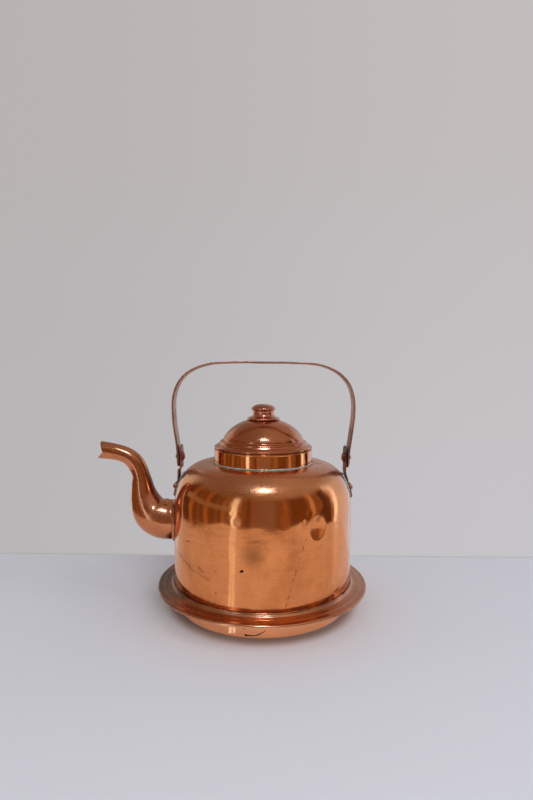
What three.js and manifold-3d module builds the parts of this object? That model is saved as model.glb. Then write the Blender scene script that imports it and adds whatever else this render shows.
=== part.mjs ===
// A copper kettle for a wood-burning stove, in millimetres, +Z up.
// The origin is on the kettle's axis, at the underside of the base, and the spout points along -X.
// The sunk base pan drops into the ring of the stove and the wide brim rests round it. The flat
// bail handle swings on two riveted lugs, and the domed lid lifts out of the neck collar.

import * as THREE from 'three';
import { mergeVertices } from 'three/addons/utils/BufferGeometryUtils.js';
import Module from 'manifold-3d';

const wasm = await Module();
wasm.setup();

// ---------------------------------------------------------------- driving dimensions

const GAP = 0.3; // clearance between pieces that touch
const SHEET = 1.2; // copper sheet of the body, the base, the spout and the lid

const PAN_INSET = 2; // sunk base pan, inside the body's radius just under the brim
const PAN_TAPER = 1.6; // its wall leans in this much to the bottom
const PAN_CORNER = 4;
const PAN_DEPTH = 22.2; // underside of the brim, at the pan's wall
const BRIM_WIDTH = 16.2; // out from the body
const BRIM_FALL = 1.5; // the brim slopes down this much to its edge
const BRIM_ROLL = 1.5; // radius of the rolled edge
const UPSTAND = 3; // ring of the brim round the foot of the body

const BODY_RADIUS = 88.8;
const BODY_WALL_HEIGHT = 74.6; // straight wall, from the foot to the start of the shoulder
const SHOULDER_RISE = 44.5;
const SHOULDER_FULLNESS = 2.3; // exponent of the shoulder's superellipse, 2 would be an ellipse
const NECK_LAND = 5.6; // flat ring of the body round the collar

const COLLAR_RADIUS = 49.2;
const COLLAR_WALL = 1;
const COLLAR_HEIGHT = 14;
const COLLAR_BEAD = 0.4; // how far the collar's foot and rim stand out

const LID_BEAD = 1.1; // radius of the bead round the lid's rim
const LID_STEP_INSET = 9; // from the rim in to the foot of the dome
const LID_STEP_RISE = 9; // from the rim up to the foot of the dome
const LID_DOME_RISE = 18.7;
const SLEEVE_WALL = 0.9;
const SLEEVE_DEPTH = 12;
const SLEEVE_CLEARANCE = 0.6; // all round, between the lid's sleeve and the collar

const KNOB_BASE_RADIUS = 16.5;
const KNOB_NECK_RADIUS = 10.5;
const KNOB_CAP_RADIUS = 12.1;
const KNOB_HEIGHT = 16.1;
const KNOB_RIVET_RADIUS = 2.6;
const KNOB_WASHER_RADIUS = 7;

const SPOUT_HEIGHT = 83; // centre of the spout's root, above the table
// Stations along the middle of the spout: distance out from the body, rise above the root's
// centre, and outer diameter there.
const SPOUT_STATIONS = [
  [0, 0, 39.8],
  [8, 0, 40],
  [17.5, 2.5, 40],
  [26, 9.2, 36.4],
  [30, 17.3, 31.2],
  [32.5, 25.8, 26.1],
  [33.8, 33.7, 22.5],
  [35, 41.4, 19.8],
  [36.6, 48.1, 18.1],
  [41.5, 58.2, 17.3],
  [51.5, 65.8, 16.2],
  [63, 69, 16.6],
  [81, 71.2, 17.6],
];
// The beak is cut at its mouth: each row is a point of the cut, out and up from the mouth's middle.
const MOUTH_REACH = 76.5;
const MOUTH_RISE = 70.7;
const MOUTH_CUT = { upperLip: [-1, 8.7], notch: [-4.6, -1.5], lowerLip: [2, -8.2] };

const PIVOT_ABOVE_SHOULDER = 5.2; // handle pivot above the top of the body
const LUG_INSET = 5.4; // outer face of a lug's tab, inside the body's widest radius
const LUG_THICKNESS = 1.5;
const LUG_WIDTH = 16;
const LUG_ABOVE_PIVOT = 12;
const LUG_FOOT_DROP = 34.3; // from the shoulder's top down to the end of the lug's foot
const LUG_LEAVES_DROP = 19; // from the shoulder's top down to where the tab leaves the body
const LUG_FOOT_CORNER = 3;
const LUG_RIVET_DROP = 24.8; // from the shoulder's top down to the rivets
const LUG_RIVET_SPACING = 9;
const LUG_RIVET_RADIUS = 1.8;
const LUG_RIVET_HEAD = { radius: 2.9, height: 2.2 };
const LUG_RIVET_TAIL = { radius: 3, height: 1.2 };
const LUG_KINK = { left: 2.4, right: 0 }; // the left lug is bent out under the handle's end
const LUG_KINK_DROP = 13.4; // the kink, below the pivot

const HANDLE_GAP = 0.9; // between a lug and the handle's end
const HANDLE_THICKNESS = 2;
const HANDLE_WIDTH = 18;
const HANDLE_EYE_RADIUS = 10.5; // rounded end round the pivot
const HANDLE_LEG = 53; // from the pivot up to the widest point
const HANDLE_BULGE = 5.3; // widest point, outside the pivot
const HANDLE_CORNER = [40.6, 41.2]; // width and height of the round corner
const HANDLE_CROWN = 1.2; // rise of the grip from its ends to its middle

const PIVOT_RADIUS = 2;
const PIVOT_HEAD = { radius: 2.8, height: 2.4 };
const PIVOT_TAIL = { radius: 3.6, height: 1.1 };
const PIVOT_WASHER = { radius: 5, thickness: 0.9 };

const AROUND = 40; // facets round the body
const AROUND_KNOB = 24;
const AROUND_TUBE = 18;
const AROUND_RIVET = 12;
const TUBE_STEPS = 26; // sections along the spout

// ---------------------------------------------------------------- heights worked out from them

const brimTop = PAN_DEPTH + SHEET;
const footZ = brimTop + GAP;
const shoulderZ = footZ + BODY_WALL_HEIGHT;
const bodyTop = shoulderZ + SHOULDER_RISE;
const collarFoot = bodyTop + GAP;
const collarTop = collarFoot + COLLAR_HEIGHT;
const lidRim = collarTop + GAP;
const domeFoot = lidRim + LID_STEP_RISE;
const lidSeat = domeFoot + LID_DOME_RISE;
const knobFoot = lidSeat + GAP;
const pivotZ = bodyTop + PIVOT_ABOVE_SHOULDER;
const lugFace = BODY_RADIUS - LUG_INSET;

// ---------------------------------------------------------------- geometry helpers

const at = (x, y) => new THREE.Vector2(x, y);
const radians = THREE.MathUtils.degToRad;

// Points of a circular arc, in degrees.
function arc(x, y, radius, from, to, steps) {
  const points = [];
  for (let i = 0; i <= steps; i++) {
    const angle = radians(from + ((to - from) * i) / steps);
    points.push(at(x + radius * Math.cos(angle), y + radius * Math.sin(angle)));
  }
  return points;
}

const bezier = (a, b, c, d, steps) => new THREE.CubicBezierCurve(a, b, c, d).getPoints(steps);

// Turns an outline of (radius, height) points round the Z axis. The outline runs
// counterclockwise, and starts and ends on the axis or closes on itself.
function turned(outline, around = AROUND) {
  return new THREE.LatheGeometry(outline, around).rotateX(Math.PI / 2);
}

const closed = (outline) => [...outline, outline[0].clone()];

// Extrudes a shape drawn in X and Z along Y, centred on y = 0.
function extrudedAlongY(points, width) {
  const shape = new THREE.Shape(points);
  const geometry = new THREE.ExtrudeGeometry(shape, { depth: width, bevelEnabled: false });
  return geometry.rotateX(Math.PI / 2).translate(0, width / 2, 0);
}

// Extrudes a shape drawn in Y and Z along X, from x = 0.
function extrudedAlongX(points, length) {
  const shape = new THREE.Shape(points);
  const geometry = new THREE.ExtrudeGeometry(shape, { depth: length, bevelEnabled: false });
  return geometry.rotateX(Math.PI / 2).rotateZ(Math.PI / 2);
}

// A rod along X, from x = start.
function rodAlongX(radius, start, length, y, z, around = AROUND_RIVET) {
  const rod = new THREE.CylinderGeometry(radius, radius, length, around).rotateZ(Math.PI / 2);
  return rod.translate(start + length / 2, y, z);
}

// Sides of a strip of even thickness round a middle line drawn in X and Z.
function strip(middle, thickness) {
  const left = [];
  const right = [];
  middle.forEach((point, i) => {
    const before = middle[Math.max(i - 1, 0)];
    const after = middle[Math.min(i + 1, middle.length - 1)];
    const along = after.clone().sub(before).normalize();
    const across = at(-along.y, along.x).multiplyScalar(thickness / 2);
    left.push(point.clone().add(across));
    right.push(point.clone().sub(across));
  });
  return [...right, ...left.reverse()];
}

// A solid tube along a curve of (x, z, diameter), with its sections square to the curve.
function taperedTube(curve, shrink, steps) {
  const positions = [];
  const indices = [];
  for (let i = 0; i <= steps; i++) {
    const station = curve.getPoint(i / steps);
    const heading = curve.getTangent(i / steps);
    const along = at(heading.x, heading.y).normalize();
    const radius = station.z / 2 - shrink;
    for (let j = 0; j < AROUND_TUBE; j++) {
      const angle = (2 * Math.PI * j) / AROUND_TUBE;
      const out = radius * Math.cos(angle);
      positions.push(station.x - out * along.y, radius * Math.sin(angle), station.y + out * along.x);
    }
  }
  for (let i = 0; i < steps; i++) {
    for (let j = 0; j < AROUND_TUBE; j++) {
      const a = i * AROUND_TUBE + j;
      const b = i * AROUND_TUBE + ((j + 1) % AROUND_TUBE);
      indices.push(a, a + AROUND_TUBE, b, b, a + AROUND_TUBE, b + AROUND_TUBE);
    }
  }
  const last = steps * AROUND_TUBE;
  for (let j = 1; j < AROUND_TUBE - 1; j++) {
    indices.push(0, j, j + 1);
    indices.push(last, last + j + 1, last + j);
  }
  const geometry = new THREE.BufferGeometry();
  geometry.setAttribute('position', new THREE.Float32BufferAttribute(positions, 3));
  geometry.setIndex(indices);
  return geometry;
}

function toSolid(geometry) {
  const bare = geometry.clone();
  bare.deleteAttribute('normal');
  bare.deleteAttribute('uv');
  const merged = mergeVertices(bare, 1e-4);
  return new wasm.Manifold(
    new wasm.Mesh({
      numProp: 3,
      vertProperties: new Float32Array(merged.attributes.position.array),
      triVerts: new Uint32Array(merged.index.array),
    })
  );
}

function toGeometry(solid) {
  const mesh = solid.getMesh();
  const geometry = new THREE.BufferGeometry();
  geometry.setAttribute('position', new THREE.BufferAttribute(mesh.vertProperties, 3));
  geometry.setIndex(new THREE.BufferAttribute(mesh.triVerts, 1));
  geometry.computeVertexNormals();
  return geometry;
}

function cut(geometry, ...cutters) {
  let solid = toSolid(geometry);
  for (const cutter of cutters) {
    solid = solid.subtract(toSolid(cutter));
  }
  return toGeometry(solid);
}

const joined = (a, b) => toGeometry(toSolid(a).add(toSolid(b)));
const shared = (a, b) => toGeometry(toSolid(a).intersect(toSolid(b)));

// ---------------------------------------------------------------- base

function basePan() {
  const panTop = BODY_RADIUS - PAN_INSET;
  const edge = BODY_RADIUS + BRIM_WIDTH - BRIM_ROLL;
  const edgeZ = brimTop - BRIM_FALL - BRIM_ROLL + SHEET / 2;
  const ring = BODY_RADIUS + GAP;
  const innerCorner = PAN_CORNER - SHEET;
  const cornerX = panTop - PAN_TAPER - PAN_CORNER;
  return turned([
    at(0, 0),
    ...arc(cornerX, PAN_CORNER, PAN_CORNER, -90, 0, 4),
    at(panTop, PAN_DEPTH),
    at(edge - 2 * BRIM_ROLL, edgeZ + BRIM_ROLL - SHEET / 2),
    ...arc(edge, edgeZ, BRIM_ROLL, 180, 450, 8),
    at(ring + 2 * SHEET, brimTop + SHEET / 2),
    at(ring + SHEET, brimTop + SHEET),
    at(ring + SHEET / 2, brimTop + UPSTAND),
    at(ring, brimTop + UPSTAND),
    at(ring, brimTop),
    at(panTop - SHEET, brimTop),
    ...arc(cornerX, PAN_CORNER, innerCorner, 0, -90, 4),
    at(0, SHEET),
  ]);
}

// ---------------------------------------------------------------- body

// Outer radius of the body at a height.
function bodyRadiusAt(z) {
  const reach = BODY_RADIUS - COLLAR_RADIUS - NECK_LAND;
  const rise = Math.max(0, z - shoulderZ) / SHOULDER_RISE;
  return BODY_RADIUS - reach + reach * (1 - rise ** SHOULDER_FULLNESS) ** (1 / SHOULDER_FULLNESS);
}

// The shoulder's outline from its foot up, moved in by an inset.
function shoulder(inset, steps) {
  const reach = BODY_RADIUS - COLLAR_RADIUS - NECK_LAND;
  const points = [];
  for (let i = 0; i <= steps; i++) {
    const angle = ((Math.PI / 2) * i) / steps;
    const across = Math.cos(angle) ** (2 / SHOULDER_FULLNESS);
    const up = Math.sin(angle) ** (2 / SHOULDER_FULLNESS);
    points.push(
      at(BODY_RADIUS - reach + (reach - inset) * across, shoulderZ + (SHOULDER_RISE - inset) * up)
    );
  }
  return points;
}

// Where a lug's rivet goes through the body: a point on the outer surface and the slope there.
function rivetSeat() {
  const z = bodyTop - LUG_RIVET_DROP;
  const step = 1;
  const rise = bodyRadiusAt(z - step) - bodyRadiusAt(z + step);
  return { x: bodyRadiusAt(z), z, tilt: Math.atan2(rise, 2 * step) };
}

// Puts a shape made along +X from the body's surface at one rivet of a lug.
function atLugRivet(geometry, side, y) {
  const seat = rivetSeat();
  const placed = geometry.rotateY(-seat.tilt).translate(seat.x, y, seat.z);
  return side === 'left' ? mirrored(placed) : placed;
}

// Turns a piece half round the kettle's axis.
const mirrored = (geometry) => geometry.rotateZ(Math.PI);

const sides = ['left', 'right'];
const rivetPlaces = { front: -LUG_RIVET_SPACING / 2, back: LUG_RIVET_SPACING / 2 };

function bodyShell() {
  const wall = turned(
    closed([
      at(BODY_RADIUS, footZ),
      ...shoulder(0, 10),
      at(COLLAR_RADIUS - COLLAR_WALL, bodyTop),
      at(COLLAR_RADIUS - COLLAR_WALL, bodyTop - SHEET),
      ...shoulder(SHEET, 8).reverse(),
      at(BODY_RADIUS - SHEET, footZ),
    ])
  );
  const spoutHole = SPOUT_STATIONS[0][2] / 2 - 2 * SHEET;
  const cutters = [
    rodAlongX(spoutHole, -BODY_RADIUS - SHEET, 30, 0, SPOUT_HEIGHT, AROUND_TUBE),
  ];
  for (const side of sides) {
    for (const y of Object.values(rivetPlaces)) {
      cutters.push(atLugRivet(rodAlongX(LUG_RIVET_RADIUS + GAP, -6, 12, 0, 0), side, y));
    }
  }
  return cut(wall, ...cutters);
}

function neckCollar() {
  const inner = COLLAR_RADIUS - COLLAR_WALL;
  const bead = COLLAR_RADIUS + COLLAR_BEAD;
  return turned(
    closed([
      at(inner, collarFoot),
      at(bead + COLLAR_BEAD, collarFoot),
      at(bead, collarFoot + 2 * COLLAR_BEAD),
      at(COLLAR_RADIUS, collarFoot + 4 * COLLAR_BEAD),
      at(COLLAR_RADIUS, collarTop - 4 * COLLAR_BEAD),
      at(bead, collarTop - 2 * COLLAR_BEAD),
      at(COLLAR_RADIUS, collarTop),
      at(inner, collarTop),
    ])
  );
}

// ---------------------------------------------------------------- spout

function spoutCurve() {
  const stations = SPOUT_STATIONS.map(
    ([out, up, diameter]) => new THREE.Vector3(-BODY_RADIUS - out, SPOUT_HEIGHT + up, diameter)
  );
  const root = stations[0].clone().setX(-BODY_RADIUS + 8);
  return new THREE.CatmullRomCurve3([root, ...stations]);
}

function mouthCutter() {
  const beyond = 20;
  const place = ([out, up]) =>
    at(-BODY_RADIUS - MOUTH_REACH - out, SPOUT_HEIGHT + MOUTH_RISE + up);
  const { upperLip, notch, lowerLip } = MOUTH_CUT;
  const outline = [
    [upperLip[0], beyond],
    upperLip,
    notch,
    lowerLip,
    [lowerLip[0], -beyond],
    [beyond, -beyond],
    [beyond, beyond],
  ];
  return extrudedAlongY(outline.map(place).reverse(), 2 * beyond);
}

function spout() {
  const curve = spoutCurve();
  const outside = taperedTube(curve, 0, TUBE_STEPS);
  const inside = toSolid(taperedTube(curve, SHEET, TUBE_STEPS));
  const sleeveRoom = turned([
    at(0, 0),
    at(BODY_RADIUS + GAP, 0),
    at(BODY_RADIUS + GAP, bodyTop),
    at(0, bodyTop),
  ]);
  const tube = toSolid(outside)
    .subtract(toSolid(sleeveRoom))
    .subtract(toSolid(mouthCutter()));
  return toGeometry(tube.subtract(inside));
}

// ---------------------------------------------------------------- lugs and their rivets

// Middle line of a lug on the right, from the end of its foot up to the top of its tab.
function lugLine(kink) {
  const away = GAP + LUG_THICKNESS / 2;
  const foot = bodyTop - LUG_FOOT_DROP;
  const leaves = bodyTop - LUG_LEAVES_DROP;
  const steps = 5;
  const points = [];
  for (let i = 0; i <= steps; i++) {
    const z = foot + ((leaves - foot) * i) / steps;
    const slope = bodyRadiusAt(z - 1) - bodyRadiusAt(z + 1);
    const tilt = Math.atan2(slope, 2);
    points.push(at(bodyRadiusAt(z) + away * Math.cos(tilt), z + away * Math.sin(tilt)));
  }
  const tab = lugFace - LUG_THICKNESS / 2;
  const kinkZ = pivotZ - LUG_KINK_DROP;
  points.push(at(tab + kink, kinkZ));
  points.push(at(tab, kinkZ + 2));
  points.push(at(tab, pivotZ + LUG_ABOVE_PIVOT));
  return points;
}

// The lug's outline seen along X: a round top and small corners at its foot.
function lugOutline() {
  const half = LUG_WIDTH / 2;
  const top = pivotZ + LUG_ABOVE_PIVOT - half;
  const foot = bodyTop - LUG_FOOT_DROP - LUG_THICKNESS;
  const corner = half - LUG_FOOT_CORNER;
  return [
    ...arc(0, top, half, 0, 180, 12),
    ...arc(-corner, foot + LUG_FOOT_CORNER, LUG_FOOT_CORNER, 180, 270, 3),
    ...arc(corner, foot + LUG_FOOT_CORNER, LUG_FOOT_CORNER, 270, 360, 3),
  ];
}

function lug(side) {
  const strap = extrudedAlongY(strip(lugLine(LUG_KINK[side]), LUG_THICKNESS), LUG_WIDTH);
  const rounded = shared(strap, extrudedAlongX(lugOutline(), BODY_RADIUS + 20));
  const holes = [rodAlongX(PIVOT_RADIUS + GAP, lugFace - 6, 12, 0, pivotZ)];
  const placed = side === 'left' ? mirrored(rounded) : rounded;
  const pivotHole = side === 'left' ? mirrored(holes[0]) : holes[0];
  const rivetHoles = Object.values(rivetPlaces).map((y) =>
    atLugRivet(rodAlongX(LUG_RIVET_RADIUS + GAP, -6, 12, 0, 0), side, y)
  );
  return cut(placed, pivotHole, ...rivetHoles);
}

// A rivet along X: its tail's flat side at x = 0 and its head's flat side at x = grip.
function rivet(radius, head, tail, grip) {
  const outline = [
    at(0, -tail.height),
    at(tail.radius * 0.7, -tail.height * 0.7),
    at(tail.radius, 0),
    at(radius, 0),
    at(radius, grip),
    at(head.radius, grip),
    at(head.radius * 0.9, grip + head.height * 0.5),
    at(head.radius * 0.5, grip + head.height * 0.9),
    at(0, grip + head.height),
  ];
  return turned(outline, AROUND_RIVET).rotateY(Math.PI / 2);
}

// How far the wall curves in under the edge of a lug rivet's tail, from the plane at its seat.
function curveUnderTail() {
  const seat = rivetSeat();
  const aside = LUG_RIVET_SPACING / 2 + LUG_RIVET_TAIL.radius;
  const above = seat.z + LUG_RIVET_TAIL.radius;
  const tangent = seat.x - Math.tan(seat.tilt) * LUG_RIVET_TAIL.radius;
  const round = seat.x - Math.sqrt(seat.x ** 2 - aside ** 2);
  const facet = seat.x * (1 - Math.cos(Math.PI / AROUND));
  return round + facet + tangent - bodyRadiusAt(above);
}

function lugRivet(side, y) {
  const inside = SHEET + GAP + curveUnderTail();
  const grip = inside + GAP + LUG_THICKNESS + GAP;
  const shape = rivet(LUG_RIVET_RADIUS, LUG_RIVET_HEAD, LUG_RIVET_TAIL, grip);
  return atLugRivet(shape.translate(-inside, 0, 0), side, y);
}

// ---------------------------------------------------------------- handle and its pivots

function pivotRivet(side) {
  const inner = lugFace - LUG_THICKNESS - PIVOT_WASHER.thickness - 2 * GAP;
  const outer = lugFace + HANDLE_GAP + HANDLE_THICKNESS + GAP;
  const pin = rivet(PIVOT_RADIUS, PIVOT_HEAD, PIVOT_TAIL, outer - inner);
  const placed = pin.translate(inner, 0, pivotZ);
  return side === 'left' ? mirrored(placed) : placed;
}

function pivotWasher(side) {
  const start = lugFace - LUG_THICKNESS - PIVOT_WASHER.thickness - GAP;
  const ring = turned(
    closed([
      at(PIVOT_RADIUS + GAP, 0),
      at(PIVOT_WASHER.radius, 0),
      at(PIVOT_WASHER.radius, PIVOT_WASHER.thickness),
      at(PIVOT_RADIUS + GAP, PIVOT_WASHER.thickness),
    ]),
    AROUND_TUBE
  );
  const placed = ring.rotateY(Math.PI / 2).translate(start, 0, pivotZ);
  return side === 'left' ? mirrored(placed) : placed;
}

// Middle line of the bail, from the right pivot over the top to the left one.
function handleLine() {
  const foot = at(lugFace + HANDLE_GAP + HANDLE_THICKNESS / 2, pivotZ);
  const wide = at(foot.x + HANDLE_BULGE, pivotZ + HANDLE_LEG);
  const [cornerWidth, cornerHeight] = HANDLE_CORNER;
  const bend = at(wide.x - cornerWidth, wide.y + cornerHeight);
  const crown = at(0, bend.y + HANDLE_CROWN);
  const leg = bezier(foot, at(foot.x + 1.2, foot.y + 16), at(wide.x, wide.y - 22), wide, 8);
  const corner = bezier(
    wide,
    at(wide.x, wide.y + cornerHeight * 0.51),
    at(wide.x - cornerWidth * 0.31, bend.y - cornerHeight * 0.1),
    bend,
    10
  );
  const grip = bezier(bend, at(bend.x * 0.7, crown.y - 0.2), at(bend.x * 0.3, crown.y), crown, 4);
  const half = [...leg, ...corner.slice(1), ...grip.slice(1)];
  const other = half.slice(0, -1).reverse();
  return [...half, ...other.map((point) => at(-point.x, point.y))];
}

function handle() {
  let bail = extrudedAlongY(strip(handleLine(), HANDLE_THICKNESS), HANDLE_WIDTH);
  const inner = lugFace + HANDLE_GAP;
  const eye = () =>
    rodAlongX(HANDLE_EYE_RADIUS, inner, HANDLE_THICKNESS, 0, pivotZ, AROUND_KNOB);
  bail = joined(joined(bail, eye()), mirrored(eye()));
  const hole = () =>
    rodAlongX(PIVOT_RADIUS + GAP, inner - 2, HANDLE_THICKNESS + 4, 0, pivotZ);
  return cut(bail, hole(), mirrored(hole()));
}

// ---------------------------------------------------------------- lid

const domeRadius = COLLAR_RADIUS - LID_STEP_INSET;

// The dome's outline from the seat of the knob down to its foot, moved in by an inset.
function dome(inset, steps) {
  const foot = at(domeRadius - inset, domeFoot);
  const top = lidSeat - inset;
  return bezier(
    at(KNOB_BASE_RADIUS, top),
    at(KNOB_BASE_RADIUS + 11.5, top - 3),
    at(foot.x - 1.8, foot.y + 6.5),
    foot,
    steps
  ).reverse();
}

function lidDome() {
  const sleeveInner = COLLAR_RADIUS - COLLAR_WALL - SLEEVE_CLEARANCE - SLEEVE_WALL;
  const beadX = COLLAR_RADIUS - LID_BEAD;
  const stepX = domeRadius + 2;
  const hole = KNOB_RIVET_RADIUS + GAP;
  return turned(
    closed([
      at(sleeveInner, lidRim),
      at(beadX, lidRim),
      ...arc(beadX, lidRim + LID_BEAD, LID_BEAD, -45, 80, 4),
      at(beadX - 3, lidRim + 4),
      at(stepX + 0.6, lidRim + 5.6),
      at(stepX - 0.2, lidRim + 7.6),
      ...dome(0, 9),
      at(hole, lidSeat),
      at(hole, lidSeat - SHEET),
      ...dome(SHEET, 7).reverse(),
      at(stepX - SHEET, lidRim + 4.6),
      at(sleeveInner, lidRim + SHEET),
    ])
  );
}

function lidSleeve() {
  const outer = COLLAR_RADIUS - COLLAR_WALL - SLEEVE_CLEARANCE;
  const top = lidRim - GAP;
  return turned(
    closed([
      at(outer - SLEEVE_WALL, top - SLEEVE_DEPTH),
      at(outer, top - SLEEVE_DEPTH),
      at(outer, top),
      at(outer - SLEEVE_WALL, top),
    ])
  );
}

function lidKnob() {
  const top = knobFoot + KNOB_HEIGHT;
  const bead = 1.2;
  const bore = KNOB_RIVET_RADIUS + GAP;
  const boreTop = knobFoot + 11;
  const cap = top - 4.8;
  return turned(
    [
      at(0, boreTop),
      at(bore, boreTop),
      at(bore, knobFoot),
      at(KNOB_BASE_RADIUS - bead, knobFoot),
      ...arc(KNOB_BASE_RADIUS - bead, knobFoot + bead, bead, -45, 90, 3),
      at(KNOB_NECK_RADIUS + 2, knobFoot + 3.6),
      at(KNOB_NECK_RADIUS + 0.2, knobFoot + 5.4),
      at(KNOB_NECK_RADIUS, knobFoot + 7),
      at(KNOB_NECK_RADIUS + 0.7, cap - 1.6),
      at(KNOB_CAP_RADIUS, cap - 0.4),
      at(KNOB_CAP_RADIUS, cap + 0.8),
      at(KNOB_CAP_RADIUS * 0.84, top - 2.1),
      at(KNOB_CAP_RADIUS * 0.55, top - 0.7),
      at(0, top),
    ],
    AROUND_KNOB
  );
}

function knobWasher() {
  const top = lidSeat - SHEET - GAP;
  return turned(
    closed([
      at(KNOB_RIVET_RADIUS + GAP, top - 1),
      at(KNOB_WASHER_RADIUS, top - 1),
      at(KNOB_WASHER_RADIUS, top),
      at(KNOB_RIVET_RADIUS + GAP, top),
    ]),
    AROUND_KNOB
  );
}

function knobRivet() {
  const seat = lidSeat - SHEET - GAP - 1 - GAP;
  const head = { radius: 4.6, height: 2 };
  return turned(
    [
      at(0, seat - head.height),
      at(head.radius * 0.6, seat - head.height * 0.85),
      at(head.radius, seat),
      at(KNOB_RIVET_RADIUS, seat),
      at(KNOB_RIVET_RADIUS, knobFoot + 11 - GAP),
      at(0, knobFoot + 11 - GAP),
    ],
    AROUND_RIVET
  );
}

// ---------------------------------------------------------------- assembly

const copper = { color: 0xb87350, roughness: 0.25, metalness: 1 };
const finishes = {
  polished: { ...copper, color: 0xc98257, roughness: 0.18 },
  worn: { ...copper, color: 0xa5613f, roughness: 0.38 },
  dark: { ...copper, color: 0x7a4a35, roughness: 0.5 },
};

const kettle = new THREE.Group();

function place(name, geometry, finish) {
  const mesh = new THREE.Mesh(geometry, new THREE.MeshStandardMaterial(finish));
  mesh.name = name;
  kettle.add(mesh);
}

place('base_pan', basePan(), copper);
place('body_shell', bodyShell(), copper);
place('neck_collar', neckCollar(), finishes.polished);
place('spout', spout(), copper);
for (const side of sides) {
  place(`lug_${side}`, lug(side), finishes.worn);
  for (const [spot, y] of Object.entries(rivetPlaces)) {
    place(`lug_rivet_${side}_${spot}`, lugRivet(side, side === 'left' ? -y : y), finishes.worn);
  }
  place(`pivot_rivet_${side}`, pivotRivet(side), finishes.worn);
  place(`pivot_washer_${side}`, pivotWasher(side), finishes.dark);
}
place('handle', handle(), finishes.worn);
place('lid_dome', lidDome(), copper);
place('lid_sleeve', lidSleeve(), finishes.worn);
place('lid_knob', lidKnob(), finishes.worn);
place('knob_washer', knobWasher(), finishes.dark);
place('knob_rivet', knobRivet(), finishes.worn);

export default kettle;
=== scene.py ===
"""The looks of a copper stove kettle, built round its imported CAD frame. Metres, +Z up."""

import math

import bmesh
import bpy
import numpy as np
from mathutils import Matrix, Vector, noise

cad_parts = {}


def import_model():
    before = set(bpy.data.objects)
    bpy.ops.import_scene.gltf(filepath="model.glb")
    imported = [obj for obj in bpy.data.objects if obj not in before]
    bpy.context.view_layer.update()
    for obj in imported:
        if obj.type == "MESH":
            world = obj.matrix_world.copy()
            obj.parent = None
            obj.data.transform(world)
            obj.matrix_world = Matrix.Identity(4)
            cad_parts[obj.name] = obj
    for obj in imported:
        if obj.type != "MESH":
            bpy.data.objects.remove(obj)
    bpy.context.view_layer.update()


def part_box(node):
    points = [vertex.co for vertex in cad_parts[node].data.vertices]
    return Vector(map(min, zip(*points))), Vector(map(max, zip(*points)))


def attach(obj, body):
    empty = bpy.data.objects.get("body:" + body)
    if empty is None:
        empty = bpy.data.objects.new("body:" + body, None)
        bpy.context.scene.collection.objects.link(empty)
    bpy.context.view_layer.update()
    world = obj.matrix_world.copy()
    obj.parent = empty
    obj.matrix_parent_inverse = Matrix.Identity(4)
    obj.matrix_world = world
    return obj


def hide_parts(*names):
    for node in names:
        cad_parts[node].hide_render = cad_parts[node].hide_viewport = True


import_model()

MM = 0.001


def extent(node, axis, end):
    """One coordinate of a CAD node's box, in millimetres; end is 0 for low and 1 for high."""
    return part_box(node)[end][axis] / MM


# ------------------------------------------------------------------ sizes, in millimetres

X, Y, Z = 0, 1, 2
LOW, HIGH = 0, 1

GAP = 0.3  # between pieces that touch
SHEET = 1.2  # thickness of the body, base, spout and lid

BODY_R = extent("body_shell", X, HIGH)
FOOT_Z = extent("body_shell", Z, LOW)
BODY_TOP = extent("body_shell", Z, HIGH)
SHOULDER_RISE = 44.5
SHOULDER_FULLNESS = 2.3
SHOULDER_Z = BODY_TOP - SHOULDER_RISE
NECK_LAND = 5.6

BRIM_R = extent("base_pan", X, HIGH)
UPSTAND_TOP = extent("base_pan", Z, HIGH)
BRIM_TOP = FOOT_Z - GAP
PAN_INSET = 2
PAN_TAPER = 1.6
PAN_TOP_R = BODY_R - PAN_INSET
PAN_FOOT_R = PAN_TOP_R - PAN_TAPER
PAN_CORNER = 4

COLLAR_FOOT = extent("neck_collar", Z, LOW)
COLLAR_TOP = extent("neck_collar", Z, HIGH)
COLLAR_R = 49.2
COLLAR_WALL = 1

LID_RIM = extent("lid_dome", Z, LOW)
LID_SEAT = extent("lid_dome", Z, HIGH)
LID_STEP = 9  # from the rim to the dome's foot, both in and up
DOME_FOOT = LID_RIM + LID_STEP
DOME_R = COLLAR_R - LID_STEP
SLEEVE_R = extent("lid_sleeve", X, HIGH)
SLEEVE_LOW = extent("lid_sleeve", Z, LOW)
SLEEVE_WALL = 0.9

KNOB_FOOT = extent("lid_knob", Z, LOW)
KNOB_TOP = extent("lid_knob", Z, HIGH)

PIVOT_Z = (extent("pivot_washer_right", Z, LOW) + extent("pivot_washer_right", Z, HIGH)) / 2
HANDLE_THICK = 2
HANDLE_HALF_WIDTH = 9
HANDLE_EYE = extent("handle", Y, HIGH)  # radius of its round ends
HANDLE_GAP = 0.9  # between a lug and the handle
HANDLE_LEG = 53  # from the pivot up to the widest point
HANDLE_BULGE = 5.3  # of the widest point, outside the pivot
HANDLE_CROWN = 1.2  # rise of the grip from its ends to its middle
HANDLE_BEND = (40.6, 41.2)  # from the widest point in and up to the end of the grip
PIVOT_HOLE_R = 2.3
LUG_HALF_WIDTH = extent("lug_right", Y, HIGH)
LUG_THICK = 1.5
LUG_TOP = extent("lug_right", Z, HIGH)
LUG_INSET = 5.4
LUG_FACE = BODY_R - LUG_INSET  # outer face of a lug's tab
LUG_FOOT_Z = BODY_TOP - 34.3
LUG_LEAVES_Z = BODY_TOP - 19  # where the tab leaves the body
LUG_KINK_Z = PIVOT_Z - 13.4
LUG_CORNER = 2.5
RIVET_Z = BODY_TOP - 24.8
RIVET_Y = 4.5
RIVET_HOLE_R = 2.1
HANDLE_X = LUG_FACE + HANDLE_GAP + HANDLE_THICK / 2
WASHER_THICK = 0.9
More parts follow.
